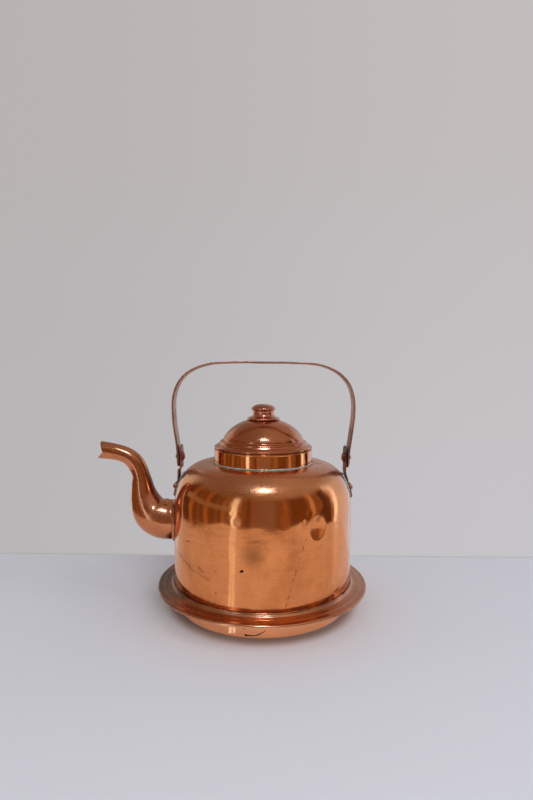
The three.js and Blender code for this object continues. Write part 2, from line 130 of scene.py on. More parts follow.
WASHER_X = LUG_FACE - LUG_THICK - WASHER_THICK - GAP

SPOUT_DROP = 20.1  # from the root's centre down to the spout's lowest point
SPOUT_Z = extent("spout", Z, LOW) + SPOUT_DROP
SPOUT_HOLE_R = 17.5
SPOUT_ROOT = (-8, 0, 39.8)  # the start, inside the body's wall, given like the stations
# distance out from the body, rise above the root's centre, outer diameter
SPOUT_STATIONS = [
    (0, 0, 39.8), (8, 0, 40), (17.5, 2.5, 40), (26, 9.2, 36.4), (30, 17.3, 31.2),
    (32.5, 25.8, 26.1), (33.8, 33.7, 22.5), (35, 41.4, 19.8), (36.6, 48.1, 18.1),
    (41.5, 58.2, 17.3), (51.5, 65.8, 16.2), (63, 69, 16.6), (81, 71.2, 17.6),
]
MOUTH = (76.5, 70.7)
# the beak's outline, out and up from the mouth
MOUTH_CUT = [(-0.6, 12), (-1, 8.7), (-4.6, -1.5), (2, -8.2), (2.6, -12)]


# ------------------------------------------------------------------ outlines

def arc(x, y, radius, start, end, steps):
    """Points of a circular arc, in degrees."""
    angles = np.radians(np.linspace(start, end, steps + 1))
    return [(x + radius * math.cos(a), y + radius * math.sin(a)) for a in angles]


def bezier(a, b, c, d, steps):
    """Points of a cubic Bezier curve."""
    t = np.linspace(0, 1, steps + 1)[:, None]
    a, b, c, d = (np.array(p, float) for p in (a, b, c, d))
    points = a * (1 - t) ** 3 + 3 * b * t * (1 - t) ** 2 + 3 * c * t * t * (1 - t) + d * t ** 3
    return [tuple(p) for p in points]


def filled_in(points, step):
    """The same outline with extra points wherever two of them are more than step apart."""
    result = [points[0]]
    for a, b in zip(points[:-1], points[1:]):
        pieces = max(1, math.ceil(math.dist(a, b) / step))
        for i in range(1, pieces + 1):
            result.append(tuple(np.array(a) + (np.array(b) - np.array(a)) * i / pieces))
    return result


def shoulder(inset, steps):
    """The body's shoulder from its foot up, moved in by an inset."""
    reach = BODY_R - COLLAR_R - NECK_LAND
    power = 2 / SHOULDER_FULLNESS
    points = []
    for angle in np.linspace(0, math.pi / 2, steps + 1):
        across = max(math.cos(angle), 0) ** power
        up = math.sin(angle) ** power
        points.append((BODY_R - reach + (reach - inset) * across,
                       SHOULDER_Z + (SHOULDER_RISE - inset) * up))
    return points


def body_radius(z):
    """Outer radius of the body at a height."""
    reach = BODY_R - COLLAR_R - NECK_LAND
    rise = min(max(0, z - SHOULDER_Z) / SHOULDER_RISE, 1)
    return BODY_R - reach + reach * (1 - rise ** SHOULDER_FULLNESS) ** (1 / SHOULDER_FULLNESS)


def dome(inset, steps):
    """The lid's dome from its foot up to the knob's seat, moved in by an inset."""
    foot = (DOME_R - inset, DOME_FOOT)
    top = LID_SEAT - inset
    return bezier(foot, (foot[0] - 1.8, foot[1] + 6.5), (28, top - 3), (16.5, top), steps)


# ------------------------------------------------------------------ meshes

CREASE = 35  # degrees between faces that meet in a sharp edge
HALF_TURN = Matrix.Rotation(math.pi, 4, "Z")
UPRIGHT_TO_X = Matrix.Rotation(math.pi / 2, 4, "Y")


def moved_to(x, y, z):
    """The matrix that moves a piece to a place in millimetres."""
    return Matrix.Translation(Vector((x, y, z)) * MM)


def to_side(matrix, side):
    """The matrix that places a right-hand piece, or its left-hand twin when side is -1."""
    return HALF_TURN @ matrix if side < 0 else matrix


def uneven(x, y, z):
    """Smooth noise of about -1 to 1 at a place, one unit to a feature."""
    return noise.noise(Vector((x, y, z)))


def link(name, vertices, faces, crease=CREASE):
    """A smooth mesh object from vertices in millimetres, with its faces turned outwards."""
    mesh = bpy.data.meshes.new(name)
    mesh.from_pydata([tuple(v) for v in np.asarray(vertices) * MM], [], faces)
    work = bmesh.new()
    work.from_mesh(mesh)
    bmesh.ops.remove_doubles(work, verts=work.verts, dist=1e-7)
    bmesh.ops.recalc_face_normals(work, faces=work.faces)
    work.to_mesh(mesh)
    work.free()
    mesh.shade_smooth()
    mesh.set_sharp_from_angle(angle=math.radians(crease))
    obj = bpy.data.objects.new(name, mesh)
    bpy.context.scene.collection.objects.link(obj)
    return obj


def grid_faces(rows, columns, close_rows, close_columns):
    """Quads of a grid of vertices, wrapped round in one or both directions."""
    faces = []
    for i in range(rows if close_rows else rows - 1):
        for j in range(columns if close_columns else columns - 1):
            i2, j2 = (i + 1) % rows, (j + 1) % columns
            faces.append((i * columns + j, i * columns + j2, i2 * columns + j2, i2 * columns + j))
    return faces


def turned(name, outline, around=192, shape=None):
    """Turns an outline of (radius, height) round the Z axis. An outline off the axis closes on
    itself. shape may change the vertices, an array of points, and returns it."""
    outline = np.array(outline, float)
    on_axis = outline[0][0] < 1e-6
    turns = np.linspace(0, 2 * math.pi, around, endpoint=False)
    radius, height = outline[:, 0][:, None], outline[:, 1][:, None]
    points = np.stack([radius * np.sin(turns), -radius * np.cos(turns),
                       height + 0 * turns], -1).reshape(-1, 3)
    if shape:
        points = shape(points)
    faces = grid_faces(len(outline), around, not on_axis, True)
    return link(name, points, faces)


def swept(name, sections, crease=CREASE):
    """Joins closed loops of points into a body with flat ends."""
    rows, columns = len(sections), len(sections[0])
    faces = grid_faces(rows, columns, False, True)
    faces.append(tuple(range(columns)))
    faces.append(tuple((rows - 1) * columns + j for j in range(columns)))
    return link(name, np.concatenate(sections), faces, crease)


def cut_holes(obj, *cylinders):
    """Cuts round holes: each is (centre, direction, radius, length), in millimetres."""
    for centre, direction, radius, length in cylinders:
        bpy.ops.mesh.primitive_cylinder_add(vertices=32, radius=radius * MM, depth=length * MM)
        cutter = bpy.context.object
        turn = Vector((0, 0, 1)).rotation_difference(Vector(direction)).to_matrix().to_4x4()
        cutter.matrix_world = Matrix.Translation(Vector(centre) * MM) @ turn
        modifier = obj.modifiers.new("hole", "BOOLEAN")
        modifier.object = cutter
        modifier.operation = "DIFFERENCE"
        modifier.solver = "EXACT"
        bpy.context.view_layer.objects.active = obj
        bpy.ops.object.modifier_apply(modifier=modifier.name)
        bpy.data.objects.remove(cutter)
    obj.data.shade_smooth()
    obj.data.set_sharp_from_angle(angle=math.radians(CREASE))
    return obj


def distance_to(points, x, y, z):
    return np.linalg.norm(points - np.array([x, y, z]), axis=1)


def falloff(distance, reach):
    """1 at the middle, smoothly down to 0 at reach."""
    t = np.clip(1 - distance / reach, 0, 1)
    return t * t * (3 - 2 * t)


def wobble(points, size, amount):
    """A smooth random offset for each point, with features about that size."""
    return np.array([noise.noise(Vector(p) / size) for p in points]) * amount


def on_body(angle, z):
    """A point on the body's wall: angle in degrees from the front towards the right."""
    radius, turn = body_radius(z), math.radians(angle)
    return np.array([radius * math.sin(turn), -radius * math.cos(turn), z])


# angle from the front, height, half width, half height and depth of each dent in the wall
SHARP_DENTS = [
    (33.6, 97.3, 8.8, 11.5, 0.85), (27.5, 110, 3, 4, 0.14), (12.5, 104.5, 5, 6, 0.12),
    (-14.2, 104.5, 4.6, 4.8, 0.13), (-17.2, 112, 2.4, 2.4, 0.07), (46, 29, 3, 2.4, 0.12),
]
SOFT_DENTS = [
    (24.5, 102, 4.5, 8, 0.22), (-3, 92, 14, 12, 0.25), (44, 128, 14, 12, 0.3),
    (-52, 70, 22, 22, 0.3), (58, 45, 18, 18, 0.35), (51, 31, 6, 5, 0.3), (96, 88, 16, 16, 0.5),
    (148, 70, 14, 18, 0.7), (176, 108, 20, 16, 0.5), (-140, 52, 16, 14, 0.5),
    (-118, 100, 18, 18, 0.4), (-160, 40, 12, 12, 0.35),
]


def dented(points, dents, sharp):
    """Pushes the points near each dent in towards the axis. A sharp dent is a round hollow with
    a clear rim, and a soft one fades out."""
    radius = np.hypot(points[:, 0], points[:, 1])
    outward = points[:, :2] / np.maximum(radius, 1e-6)[:, None]
    push = np.zeros(len(points))
    for angle, z, half_width, half_height, depth in dents:
        away = points - on_body(angle, z)
        away[:, :2] /= half_width
        away[:, 2] /= half_height
        distance = np.linalg.norm(away, axis=1)
        if sharp:
            push += depth * np.clip(1 - distance ** 2, 0, 1) ** 1.15
            push -= depth * 0.16 * falloff(np.abs(distance - 1.14), 0.4)
        else:
            push += depth * falloff(distance, 1)
    points[:, :2] -= outward * push[:, None]
    return points


def hammered_body(points):
    """Dents, and the slow unevenness of a sheet that was raised by hand."""
    points = dented(dented(points, SOFT_DENTS, False), SHARP_DENTS, True)
    radius = np.hypot(points[:, 0], points[:, 1])
    waves = wobble(points, 34, 0.22) + wobble(points, 13, 0.05)
    inside_lap = np.clip((points[:, 2] - FOOT_Z - 4) / 10, 0, 1)
    near_neck = np.clip((radius - COLLAR_R - 3) / 12, 0, 1)
    scale = 1 + waves * inside_lap * near_neck / np.maximum(radius, 1)
    points[:, :2] *= scale[:, None]
    return points


def body_shell():
    outer = filled_in([(BODY_R, FOOT_Z), (BODY_R, SHOULDER_Z)], 1.3) + shoulder(0, 60)[1:]
    outer += [(COLLAR_R - COLLAR_WALL, BODY_TOP)]
    inner = [(COLLAR_R - COLLAR_WALL, BODY_TOP - SHEET)] + shoulder(SHEET, 40)[::-1]
    inner += filled_in([(BODY_R - SHEET, SHOULDER_Z - 0.1), (BODY_R - SHEET, FOOT_Z)], 3)
    shell = turned("body_shell_fine", outer + inner, 360, hammered_body)
    return cut_holes(shell, ((-BODY_R, 0, SPOUT_Z), (1, 0, 0), SPOUT_HOLE_R, 20))


def base_pan():
    edge = BRIM_R - 1.5
    edge_z = BRIM_TOP - 1.5 - 1.5 + SHEET / 2
    ring = BODY_R + 0.04
    corner = PAN_FOOT_R - PAN_CORNER
    under = BRIM_TOP - SHEET
    outline = [(0, 0.35)] + arc(corner - 6, 0.35, 0.01, 90, 0, 1) + [(corner - 3, 0.1)]
    outline += arc(corner, PAN_CORNER, PAN_CORNER, -90, 0, 10)
    outline += arc(PAN_TOP_R + 1.6, under - 1.6, 1.6, 180, 95, 6)
    outline += bezier((PAN_TOP_R + 3, under + 0.05), (94, under - 0.2), (98, edge_z + 0.9),
                      (edge - 1.4, edge_z + 0.6), 12)
    outline += arc(edge, edge_z, 1.5, 200, 440, 20)
    outline += bezier((edge - 1.2, edge_z + 1.48), (99.5, edge_z + 1.3), (98.5, BRIM_TOP - 0.35),
                      (96.6, BRIM_TOP - 0.2), 10)
    outline += bezier((95.8, BRIM_TOP - 0.25), (94.6, BRIM_TOP - 0.5), (93.8, BRIM_TOP + 0.1),
                      (92.6, BRIM_TOP + 0.15), 6)
    outline += bezier((92, BRIM_TOP + 0.15), (91.2, BRIM_TOP + 0.4), (91.3, BRIM_TOP + 1.2),
                      (90.5, BRIM_TOP + 1.6), 8)
    outline += arc(ring + 0.7, UPSTAND_TOP - 0.6, 0.6, 20, 160, 8)
    outline += [(ring, UPSTAND_TOP - 1), (ring, BRIM_TOP), (PAN_TOP_R - SHEET, BRIM_TOP)]
    outline += arc(corner, PAN_CORNER, PAN_CORNER - SHEET, 0, -90, 8)
    outline += [(0, SHEET)]
    return turned("base_pan_fine", filled_in(outline, 3.5), 320, bent_brim)


def bent_brim(points):
    """The brim isn't quite flat: it waves by a few tenths, and more towards its edge."""
    radius = np.hypot(points[:, 0], points[:, 1])
    loose = np.clip((radius - BODY_R - 3) / 12, 0, 1)
    points[:, 2] += wobble(points * [1, 1, 0], 42, 0.7) * loose
    wall = (radius > PAN_FOOT_R - 4) & (radius < PAN_TOP_R + 0.5) & (points[:, 2] < BRIM_TOP - 4)
    points[:, :2] *= (1 + wall * wobble(points, 16, 0.12) / np.maximum(radius, 1))[:, None]
    return points


def neck_collar():
    inner = COLLAR_R - COLLAR_WALL
    outline = [(inner, COLLAR_FOOT), (COLLAR_R + 0.8, COLLAR_FOOT)]
    outline += bezier((COLLAR_R + 0.8, COLLAR_FOOT + 0.2), (COLLAR_R + 0.2, COLLAR_FOOT + 0.3),
                      (COLLAR_R, COLLAR_FOOT + 0.8), (COLLAR_R, COLLAR_FOOT + 1.6), 6)
    outline += filled_in([(COLLAR_R, COLLAR_FOOT + 1.7), (COLLAR_R, COLLAR_TOP - 2)], 1)
    outline += arc(COLLAR_R - 0.2, COLLAR_TOP - 0.8, 0.6, -60, 75, 8)
    outline += [(inner, COLLAR_TOP - 0.15)]
    return turned("neck_collar_fine", outline, 240)


def lid_dome():
    sleeve_inner = SLEEVE_R - SLEEVE_WALL
    step = DOME_R + 2
    outline = [(sleeve_inner, LID_RIM), (COLLAR_R - 1, LID_RIM)]
    outline += arc(COLLAR_R - 1.05, LID_RIM + 1.15, 1.15, -80, 62, 12)
    outline += bezier((COLLAR_R - 1.2, LID_RIM + 2.5), (COLLAR_R - 2.4, LID_RIM + 3.6),
                      (COLLAR_R - 3, LID_RIM + 3.6), (COLLAR_R - 4.4, LID_RIM + 4.1), 8)
    outline += arc(step + 0.1, LID_RIM + 5.9, 1.5, -10, 95, 10)
    outline += bezier((step - 0.6, LID_RIM + 7.5), (step - 1.4, LID_RIM + 7.8),
                      (DOME_R + 0.1, DOME_FOOT - 0.8), (DOME_R, DOME_FOOT), 5)
    outline += dome(0, 48)[1:]
    outline += [(2.9, LID_SEAT), (2.9, LID_SEAT - SHEET)]
    outline += dome(SHEET, 30)[::-1]
    outline += [(step - SHEET, LID_RIM + 4.6), (sleeve_inner, LID_RIM + SHEET)]
    return turned("lid_dome_fine", filled_in(outline, 2.4), 256, dented_lid)


def dented_lid(points):
    """The lid's dome is a little out of round, with one shallow dent to the right."""
    radius = np.hypot(points[:, 0], points[:, 1])
    free = falloff(np.abs(radius - 27), 16) * (points[:, 2] > DOME_FOOT - 2)
    points[:, :2] *= (1 + free * wobble(points, 19, 0.3) / np.maximum(radius, 1))[:, None]
    points[:, 2] -= falloff(distance_to(points, 21, -22, 178), 9) * 0.3
    return points


def lid_sleeve():
    inner = SLEEVE_R - SLEEVE_WALL
    top = LID_RIM - GAP
    outline = [(inner, SLEEVE_LOW + 0.4), (inner + 0.3, SLEEVE_LOW), (SLEEVE_R - 0.3, SLEEVE_LOW)]
    outline += [(SLEEVE_R, SLEEVE_LOW + 0.4), (SLEEVE_R, top), (inner, top)]
    return turned("lid_sleeve_fine", filled_in(outline, 3), 192)


def lid_knob():
    cap = KNOB_TOP - 4.8
    outline = [(0, KNOB_FOOT + 11), (2.9, KNOB_FOOT + 11), (2.9, KNOB_FOOT), (15.4, KNOB_FOOT)]
    outline += arc(15.3, KNOB_FOOT + 1.2, 1.2, -85, 80, 12)
    outline += bezier((15.3, KNOB_FOOT + 2.6), (14.2, KNOB_FOOT + 2.9), (12.2, KNOB_FOOT + 3.2),
                      (11.2, KNOB_FOOT + 4.8), 8)
    outline += bezier((11.1, KNOB_FOOT + 5.1), (10.3, KNOB_FOOT + 6.4), (10.3, cap - 3.4),
                      (11.1, cap - 1.7), 10)
    outline += arc(11.1, cap + 0.1, 1.35, -70, 60, 12)
    outline += bezier((11.2, cap + 1.6), (9.4, KNOB_TOP - 1.1), (5.6, KNOB_TOP),
                      (0.01, KNOB_TOP), 16)
    outline[-1] = (0, KNOB_TOP)
    return turned("lid_knob_fine", outline, 128)


def knob_washer():
    low, high = extent("knob_washer", Z, LOW), extent("knob_washer", Z, HIGH)
    outline = [(2.9, low), (6.7, low), (7, low + 0.3), (7, high - 0.2), (6.8, high), (2.9, high)]
    return turned("knob_washer_fine", outline, 64)


def knob_rivet():
    low, high = extent("knob_rivet", Z, LOW), extent("knob_rivet", Z, HIGH)
    seat = low + 2
    outline = arc(0, seat + 4.4, 6.4, -90, -46, 8)[:-1]
    outline[0] = (0, low)
    outline += [(4.6, seat - 0.2), (4.5, seat), (2.6, seat), (2.6, high), (0, high)]
    return turned("knob_rivet_fine", outline, 48)


# ------------------------------------------------------------------ spout

def spout_line(t):
    """Middle, heading and radius of the spout at each t, from 0 at the root to 1 at the end."""
    stations = np.array([SPOUT_ROOT] + SPOUT_STATIONS, float)
    steps = np.hypot(*np.diff(stations[:, :2], axis=0).T)
    along = np.concatenate([[0], np.cumsum(steps)])
    at = np.asarray(t) * along[-1]
    values = np.stack([smooth_through(along, stations[:, k], at) for k in range(3)], -1)
    ahead = np.stack([smooth_through(along, stations[:, k], at + 0.05) for k in range(2)], -1)
    heading = ahead - values[:, :2]
    heading /= np.linalg.norm(heading, axis=1)[:, None]
    return values[:, :2], heading, values[:, 2] / 2


def smooth_through(x, y, at):
    """A natural cubic spline through the points (x, y), read at the places in at."""
    n, h = len(x), np.diff(x)
    matrix, right = np.eye(n), np.zeros(n)
    for i in range(1, n - 1):
        matrix[i, i - 1:i + 2] = h[i - 1], 2 * (h[i - 1] + h[i]), h[i]
        right[i] = 6 * ((y[i + 1] - y[i]) / h[i] - (y[i] - y[i - 1]) / h[i - 1])
    bend = np.linalg.solve(matrix, right)
    i = np.clip(np.searchsorted(x, at) - 1, 0, n - 2)
    a, b = (x[i + 1] - at) / h[i], (at - x[i]) / h[i]
    curve = ((a ** 3 - a) * bend[i] + (b ** 3 - b) * bend[i + 1]) * h[i] ** 2 / 6
    return a * y[i] + b * y[i + 1] + curve


def spout_skin(inset, steps, around):
    """Rows of points of the spout's outside, or of its inside with an inset. The rows are cut
    to the body at one end and to the beak at the other."""
    t = np.linspace(0, 1, 600)
    middle, heading, radius = spout_line(t)
    radius = radius - inset
    turns = np.linspace(0, 2 * math.pi, around, endpoint=False)
    up, side = np.cos(turns), np.sin(turns)
    across = np.stack([-heading[:, 1], heading[:, 0]], -1)
    out = middle[:, None, 0] + across[:, None, 0] * radius[:, None] * up
    rise = middle[:, None, 1] + across[:, None, 1] * radius[:, None] * up
    wide = radius[:, None] * side
    wall = np.sqrt(np.maximum((BODY_R + GAP) ** 2 - wide ** 2, 0)) - BODY_R
    cut_out, cut_up = np.array(MOUTH_CUT[::-1]).T
    beak = MOUTH[0] + np.interp(rise - MOUTH[1], cut_up, cut_out)
    rows = np.empty((steps + 1, around, 3))
    for j in range(around):
        start = np.argmax(out[:, j] > wall[:, j])
        end = len(t) - 1 - np.argmax((out[:, j] < beak[:, j])[::-1])
        first = cut_place(t, out[:, j] - wall[:, j], start)
        last = cut_place(t, out[:, j] - beak[:, j], end + 1)
        spread = first + (last - first) * np.linspace(0, 1, steps + 1)
        rows[:, j, 0] = -BODY_R - np.interp(spread, t, out[:, j])
        rows[:, j, 1] = np.interp(spread, t, wide[:, j])
        rows[:, j, 2] = SPOUT_Z + np.interp(spread, t, rise[:, j])
    return rows


def cut_place(t, signed, i):
    """Where the signed distance crosses zero, between samples i - 1 and i."""
    i = min(max(i, 1), len(t) - 1)
    before, after = signed[i - 1], signed[i]
    share = before / (before - after) if before != after else 0
    return t[i - 1] + (t[i] - t[i - 1]) * min(max(share, 0), 1)


def spout():
    around, steps = 96, 170
    outside = spout_skin(0, steps, around)
    inside = spout_skin(SHEET, steps, around)
    rows = np.concatenate([outside, inside[::-1]])
    points = shaped_spout(rows.reshape(-1, 3))
    faces = grid_faces(len(rows), around, True, True)
    return link("spout_fine", points, faces, crease=50)


def shaped_spout(points):
    """A groove where the spout meets its root ring, a flare at the body and two small dents."""
    from_body = np.hypot(points[:, 0], points[:, 1]) - BODY_R - GAP
    near = (from_body < 12) & (np.abs(points[:, 2] - SPOUT_Z) < 26)
    centre = np.array([0, SPOUT_Z])
    radial = points[:, 1:] - centre
    size = np.maximum(np.linalg.norm(radial, axis=1), 1e-6)
    groove = -0.35 * falloff(np.abs(from_body - 2.6), 0.8)
    flare = 0.9 * np.clip(1 - from_body / 1.6, 0, 1) ** 2 + 0.2 * (from_body < 2.6)
    change = np.where(near & (size > 19.2), groove + flare, 0)
    points[:, 1:] += radial / size[:, None] * change[:, None]
    points[:, 0] += falloff(distance_to(points, -133, -4, 127), 7) * 0.9
    points[:, 2] -= falloff(distance_to(points, -118, -18, 84), 12) * 0.4
    points += (wobble(points, 15, 0.16) * (from_body > 4))[:, None] * [0.6, 0.6, 0.6]
    return points


# ------------------------------------------------------------------ straps

def strap(name, line, half_width, thickness, rounding, wave=0.0):
    """A flat strap along a line of (x, z) points. half_width gives its half width at each
    point, and its long edges are rounded."""
    line = np.array(line, float)
    heading = np.gradient(line, axis=0)
    heading /= np.linalg.norm(heading, axis=1)[:, None]
    across = np.stack([heading[:, 1], -heading[:, 0]], -1)
    sections = []
    for (x, z), (nx, nz), width in zip(line, across, half_width):
        loop = strap_section(width, thickness / 2, min(rounding, width * 0.5))
        wobbled = wave * uneven(x / 17, 0, z / 17)
        twist = wave * 0.02 * uneven(x / 40, 9 / 40, z / 40)
        sections.append(np.array([
            (x + nx * (d + wobbled + twist * y), y, z + nz * (d + wobbled + twist * y))
            for y, d in loop
        ]))
    return swept(name, sections, crease=42)


def strap_section(width, half, rounding):
    """A rounded rectangle of (across, through) points."""
    r = min(rounding, half * 0.95)
    corners = [(width - r, half - r, 0), (-width + r, half - r, 90),
               (-width + r, -half + r, 180), (width - r, -half + r, 270)]
    loop = []
    for y, d, start in corners:
        loop += arc(y, d, r, start, start + 90, 4)
    return loop


def handle_line():
    """The bail's middle line from the right pivot over the top to the left one."""
    foot = (HANDLE_X, PIVOT_Z)
    wide = (HANDLE_X + HANDLE_BULGE, PIVOT_Z + HANDLE_LEG)
    bend = (wide[0] - HANDLE_BEND[0], wide[1] + HANDLE_BEND[1])
    crown = (0, bend[1] + HANDLE_CROWN)
    half = bezier(foot, (foot[0] + 1.2, foot[1] + 16), (wide[0], wide[1] - 22), wide, 40)
    half += bezier(wide, (wide[0], wide[1] + 21), (wide[0] - 12.6, bend[1] - 4.1), bend, 48)[1:]
    half += bezier(bend, (bend[0] * 0.7, crown[1] - 0.2), (bend[0] * 0.3, crown[1]), crown, 24)[1:]
    below = [(HANDLE_X, PIVOT_Z - d) for d in np.linspace(HANDLE_EYE - 0.15, 0.6, 22)]
    half = below + half
    return half + [(-x, z) for x, z in half[:-1][::-1]]


def handle_half_width(z):
    """The bail's half width at a height: round eyes at the pivots and a plain strap above."""
    below = PIVOT_Z - z
    if below > 0:
        return math.sqrt(max(HANDLE_EYE ** 2 - below ** 2, 0.3))
    round_eye = math.sqrt(max(HANDLE_EYE ** 2 - below ** 2, 0))
    easing = HANDLE_HALF_WIDTH + (HANDLE_EYE - HANDLE_HALF_WIDTH) * math.exp(below / 5)
    return max(min(round_eye, HANDLE_EYE), easing) if -below < 5 else easing


def handle():
    line = handle_line()
    widths = [handle_half_width(z) for _, z in line]
    bail = strap("handle_fine", line, widths, HANDLE_THICK, 0.75, 0.35)
    holes = [((side * HANDLE_X, 0, PIVOT_Z), (1, 0, 0), PIVOT_HOLE_R, 8) for side in (-1, 1)]
    return cut_holes(bail, *holes)


def lug_line(kink):
    """A right lug's middle line from the end of its foot up to the top of its tab."""
    away = GAP + LUG_THICK / 2
    points = []
    for z in np.linspace(LUG_FOOT_Z, LUG_LEAVES_Z, 22):
        tilt = math.atan2(body_radius(z - 1) - body_radius(z + 1), 2)
        points.append((body_radius(z) + away * math.cos(tilt), z + away * math.sin(tilt)))
    tab = LUG_FACE - LUG_THICK / 2
    start = points[-1]
    bent = (tab + kink, LUG_KINK_Z)
    points += bezier(start, (start[0] + 0.2, start[1] + 2.5), (bent[0], bent[1] - 3), bent, 8)[1:]
    points += bezier(bent, (bent[0], bent[1] + 1.2), (tab, bent[1] + 1), (tab, bent[1] + 3), 8)[1:]
    points += [(tab, z) for z in np.linspace(LUG_KINK_Z + 3.5, LUG_TOP - 0.1, 34)]
    return points


def lug_half_width(z):
    """The lug's half width at a height: a round top, and small corners at its foot."""
    from_top = LUG_TOP - z
    if from_top < LUG_HALF_WIDTH:
        return math.sqrt(max(LUG_HALF_WIDTH ** 2 - (LUG_HALF_WIDTH - from_top) ** 2, 0.3))
    short = LUG_CORNER - (z - LUG_FOOT_Z)
    if short > 0:
        return LUG_HALF_WIDTH - LUG_CORNER + math.sqrt(max(LUG_CORNER ** 2 - short ** 2, 0))
    return LUG_HALF_WIDTH


def rivet_frame(side, y):
    """Matrix from a rivet's own frame, with +X out of the body, to its place on a lug."""
    tilt = math.atan2(body_radius(RIVET_Z - 1) - body_radius(RIVET_Z + 1), 2)
    place = moved_to(body_radius(RIVET_Z), y, RIVET_Z)
    return to_side(place @ Matrix.Rotation(-tilt, 4, "Y"), side)


def lug(name, side, kink):
    line = lug_line(kink)
    piece = strap(name, line, [lug_half_width(z) for _, z in line], LUG_THICK, 0.5, 0.12)
    piece.data.transform(to_side(Matrix(), side))
    holes = [((side * LUG_FACE, 0, PIVOT_Z), (1, 0, 0), PIVOT_HOLE_R, 8)]
    for y in (-RIVET_Y, RIVET_Y):
        matrix = rivet_frame(side, y)
        direction = matrix.to_3x3() @ Vector((1, 0, 0))
        holes.append((matrix.translation / MM, direction, RIVET_HOLE_R, 8))
    return cut_holes(piece, *holes)


def rivet(name, radius, head, tail, start, end, matrix, seed):
    """A rivet along its own X axis with a hammered head and a flatter tail, put in place by a
    matrix. head and tail are (radius, height)."""
    outline = dome_outline(tail, start, -1) + [(radius, start), (radius, end)]
    outline += dome_outline(head, end, 1)[::-1]

    def hammered(points):
        dull = np.array([noise.noise(Vector(p) / 1.9 + Vector((seed, 0, 0))) for p in points])
        wide = np.hypot(points[:, 0], points[:, 1]) > radius
        points[:, :2] *= (1 + 0.07 * dull * wide)[:, None]
        points[:, 2] += dull * 0.16
        return points

    piece = turned(name, outline, 40, hammered)
    piece.data.transform(matrix @ UPRIGHT_TO_X)
    return piece


def dome_outline(cap, seat, sign):
    """From the top of a rounded cap on the axis down to its seat, as (radius, height)."""
    radius, height = cap
    return [(radius * math.sin(a) ** 0.85, seat + sign * height * math.cos(a))
            for a in np.linspace(0, math.pi / 2, 12)]


def washer(name, side):
    outline = [(PIVOT_HOLE_R, 0), (4.7, 0), (5, 0.3), (5, WASHER_THICK - 0.2),
               (4.8, WASHER_THICK), (PIVOT_HOLE_R, WASHER_THICK)]
    piece = turned(name, outline, 48)
    place = moved_to(WASHER_X, 0, PIVOT_Z) @ UPRIGHT_TO_X
    piece.data.transform(to_side(place, side))
    return piece


# ------------------------------------------------------------------ crusts and solder

def ring_bead(name, radius, z, size, around=300, lumpy=0.8):
    """An uneven bead of crust or solder round the axis."""
    sections = []
    for turn in np.linspace(0, 2 * math.pi, around, endpoint=False):
        x, y = radius * math.sin(turn), -radius * math.cos(turn)
        lump = uneven(x / 5, y / 5, 0) + 0.4 * uneven(x / 1.7, y / 1.7, 0)
        thick = size * (1 + lumpy * lump)
        loop = arc(radius + size * 0.35, z, max(thick, 0.12), 0, 330, 11)
        sections.append([(r * math.sin(turn), -r * math.cos(turn), h) for r, h in loop])
    rows = np.array(sections)
    faces = grid_faces(len(rows), rows.shape[1], True, True)
    return link(name, rows.reshape(-1, 3), faces, 60)


def solder_ring():
    """The dark solder seam where the spout's root meets the body, with a blob at its foot."""
    sections = []
    root = 20.6
    for turn in np.linspace(0, 2 * math.pi, 140, endpoint=False):
        y, z = root * math.sin(turn), root * math.cos(turn)
        x = -math.sqrt(BODY_R ** 2 - y * y) - 0.25
        blob = falloff(abs(abs(turn) - math.pi), 0.28) * 1.5
        thick = 0.5 + 0.2 * uneven(x / 2.5, y / 2.5, z / 2.5) + blob
        out = np.array([0, math.sin(turn), math.cos(turn)])
        centre = np.array([x - blob * 0.8, y, SPOUT_Z + z])
        sections.append([centre + out * thick * math.cos(a) + np.array([thick * math.sin(a), 0, 0])
                         for a in np.linspace(0, 2 * math.pi, 10, endpoint=False)])
    rows = np.array(sections)
    return link("spout_solder", rows.reshape(-1, 3), grid_faces(140, 10, True, True), 60)


def lug_crust(name, side):
    """Verdigris that has grown in the wedge between a lug and the shoulder."""
    sections = []
    for z in np.linspace(LUG_FOOT_Z - 0.5, BODY_TOP - 12, 50):
        tilt = math.atan2(body_radius(z - 0.6) - body_radius(z + 0.6), 1.2)
        surface = body_radius(z)
        strap_face = LUG_FACE - LUG_THICK if z > BODY_TOP - 17 else surface + 0.45
        thick = min(max(strap_face - surface, 0.9), 1.3 + 0.8 * uneven(0, side, z / 3))
        half = LUG_HALF_WIDTH + 0.9 + 0.6 * uneven(side * 7, 0, z / 2.2)
        loop = []
        for y in np.linspace(-half, half, 16):
            curve = surface - (y * y) / (2 * surface)
            lump = thick * (1 + 0.5 * uneven(y / 1.6, side, z / 1.6))
            lump *= max(0.1, 1 - (abs(y) / half) ** 6)
            loop.append((curve + max(lump, 0.1) * math.cos(tilt), y, z + lump * math.sin(tilt)))
        for y in np.linspace(half, -half, 16):
            curve = surface - (y * y) / (2 * surface)
            loop.append((curve - 0.25, y, z))
        sections.append(np.array(loop))
    piece = swept(name, sections, 60)
    piece.data.transform(to_side(Matrix(), side))
    return piece


# ------------------------------------------------------------------ materials

